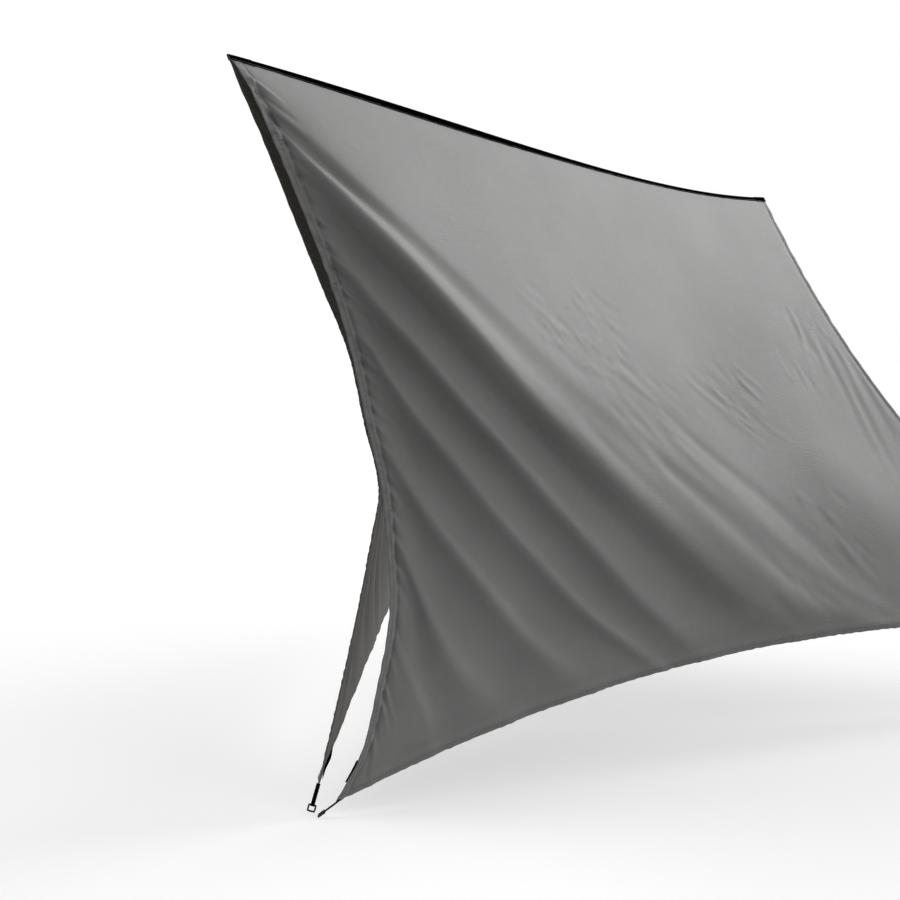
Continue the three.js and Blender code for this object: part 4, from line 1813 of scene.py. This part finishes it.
@dataclass
class Studio:
    """Plain pale floor, soft lights and the camera.

    floor_seen and floor_bounce are the floor's tone as it is seen and as it lights the tarp,
    floor_glow its own light, and surround how strongly the white surround lights the tarp.
    """

    camera_place: Triple = (-4.753, -2.72, -0.548)
    heading: float = 33.4
    pitch: float = -3.87
    lens: float = 69.4
    sensor: float = 36.0
    sight: float = 500.0
    floor_size: float = 120.0
    floor_below: float = 1 * MM
    floor_seen: float = 0.7
    floor_bounce: float = 0.42
    floor_glow: float = 0.445
    surround: float = 0.15

    def camera(self) -> None:
        """Sets the camera, level, at its heading and pitch."""
        data = bpy.data.cameras.new("camera")
        data.lens = self.lens
        data.sensor_width = self.sensor
        data.clip_end = self.sight
        camera = link("camera", data)
        turn = math.radians(self.heading)
        tilt = math.radians(self.pitch)
        look = Vector((math.cos(turn) * math.cos(tilt), math.sin(turn) * math.cos(tilt), math.sin(tilt)))
        camera.location = self.camera_place
        camera.rotation_euler = look.to_track_quat("-Z", "Y").to_euler()
        bpy.context.scene.camera = camera

    def floor(self) -> None:
        """Lays the floor just under the tarp's lowest ring."""
        bm = bmesh.new()
        bmesh.ops.create_grid(bm, x_segments=1, y_segments=1, size=self.floor_size / 2)
        bmesh.ops.translate(bm, verts=bm.verts, vec=(0.0, 0.0, CAD_BOX[0][2] - self.floor_below))
        mesh = bpy.data.meshes.new("floor")
        bm.to_mesh(mesh)
        bm.free()
        material, tree = new_material("pale_floor")
        seen = seen_rays(tree)
        strength = add_node(tree, "ShaderNodeMath", {"operation": "MULTIPLY"}, {0: seen, 1: self.floor_glow})
        grey = add_node(tree, "ShaderNodeMapRange", {},
                        {"Value": seen, "To Min": self.floor_bounce, "To Max": self.floor_seen})
        dull = add_node(tree, "ShaderNodeBsdfDiffuse", {}, {"Color": grey.outputs[0]})
        glow = add_node(tree, "ShaderNodeEmission", {}, {"Strength": strength.outputs[0]})
        both = add_node(tree, "ShaderNodeAddShader", {}, {0: dull.outputs[0], 1: glow.outputs[0]})
        add_node(tree, "ShaderNodeOutputMaterial", {}, {"Surface": both.outputs[0]})
        mesh.materials.append(material)
        link("floor", mesh)

    def world(self) -> None:
        """Sets an even pale surround, which is white where it is seen or mirrored."""
        world = bpy.data.worlds.new("surround")
        bpy.context.scene.world = world
        world.use_nodes = True
        tree = world.node_tree
        tree.nodes.clear()
        strength = add_node(tree, "ShaderNodeMapRange", {},
                            {"Value": seen_rays(tree), "To Min": self.surround, "To Max": 1.0})
        light = add_node(tree, "ShaderNodeBackground", {},
                         {"Color": (1.0, 1.0, 1.0, 1.0), "Strength": strength.outputs[0]})
        add_node(tree, "ShaderNodeOutputWorld", {}, {"Surface": light.outputs[0]})

    def build(self) -> None:
        """Sets up the whole studio."""
        self.camera()
        self.floor()
        self.world()
        for sun in SUNS:
            sun.build()
        bpy.context.scene.view_settings.view_transform = "Standard"


# ------------------------------------------------------------------ the tarp


def panel_shapes() -> tuple[PanelShape, PanelShape]:
    """The front and the back panel."""
    front = PanelShape(
        "front", Side.FRONT, closed_corner_down=0.989, open_corner=(1.366, -1.358, -1.544),
        hem_arch_up=0.15, hem_arch_in=0.07, bend=0.6, seed=7,
        fold_share=1.0, fold_start=0.045, bend_start=0.035, fan_share=1.0,
    )
    back = PanelShape(
        "back", Side.BACK, closed_corner_down=0.9765, open_corner=(1.342, 1.514, -1.527),
        hem_arch_up=0.13, hem_arch_in=0.054, bend=0.4, seed=19,
        fold_share=0.5, fold_start=0.07, bend_start=0.08, fan_share=0.2,
    )
    return front, back


def corner_fittings(front: PanelShape, back: PanelShape) -> list[CornerFitting]:
    """The four straps and rings, by the corner that each is sewn to."""
    return [
        CornerFitting("front_closed", front, 0.0, (-0.83, 0.34, -0.44), (-0.04, 0.75, 0.66), 51 * MM),
        CornerFitting("back_closed", back, 0.0, (-0.6, -0.13, -0.79), (-0.77, -0.58, 0.26), 57 * MM),
        CornerFitting("front_open", front, 1.0, (0.62, -0.5, -0.6), (0.1, -0.72, 0.69), 60 * MM),
        CornerFitting("back_open", back, 1.0, (0.62, 0.52, -0.59), (0.1, 0.72, 0.69), 60 * MM),
    ]


def build_ridge(front: PanelShape, back: PanelShape, finishes: Finishes) -> list[Object]:
    """Makes the ridge tape, its two end caps and their stitches."""
    cap = 80 * MM / PANEL_ALONG
    thick = (3 * MM, 2.2 * MM)
    crown = 3.6 * MM
    bands = [
        RidgeBand("ridge_webbing", front, back, "ridge_tape", 0.0, 1.0, 0.0, 0.9 * MM, 71),
        RidgeBand("closed_end_cap", front, back, "ridge_cap_closed", 0.0, cap, *thick, 72, crown),
        RidgeBand("open_end_cap", front, back, "ridge_cap_open", 1 - cap, 1.0, *thick, 73, crown),
    ]
    made = [band.build(finishes) for band in bands]
    lines = [line for band in bands for line in band.stitch_lines()]
    made.append(StitchLine().build("ridge_stitches", lines, finishes.black_thread, "webbing"))
    log.info("ridge: %d pieces", len(made))
    return made


def main() -> None:
    """Builds the tarp and its studio."""
    logging.basicConfig(level=logging.INFO, format="%(name)s: %(message)s")
    finishes = Finishes()
    front, back = panel_shapes()
    panels = [ClothPanel(front), ClothPanel(back)]
    cloths: dict[Side, Object] = {}
    sewn_on: dict[Side, list[Object]] = {}
    for panel in panels:
        side = panel.shape.side
        cloths[side], sewn_on[side] = panel.build(finishes)
    for fitting in corner_fittings(front, back):
        sewn_on[fitting.shape.side] += fitting.build(finishes)
    tabs = (
        EdgeTab("front_tab", front, "tab_front", Edge.CLOSED, 0.945, 0.973, 56 * MM),
        EdgeTab("back_tab", back, "tab_back", Edge.LOWER, 0.026, 0.07, 122 * MM, proud=9 * MM),
    )
    for tab in tabs:
        sewn_on[tab.shape.side].append(tab.build(finishes))
    sewn_on[Side.FRONT] += build_ridge(front, back, finishes)
    for panel in panels:
        side = panel.shape.side
    Studio().build()
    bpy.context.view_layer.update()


if __name__ == "__main__":
    main()
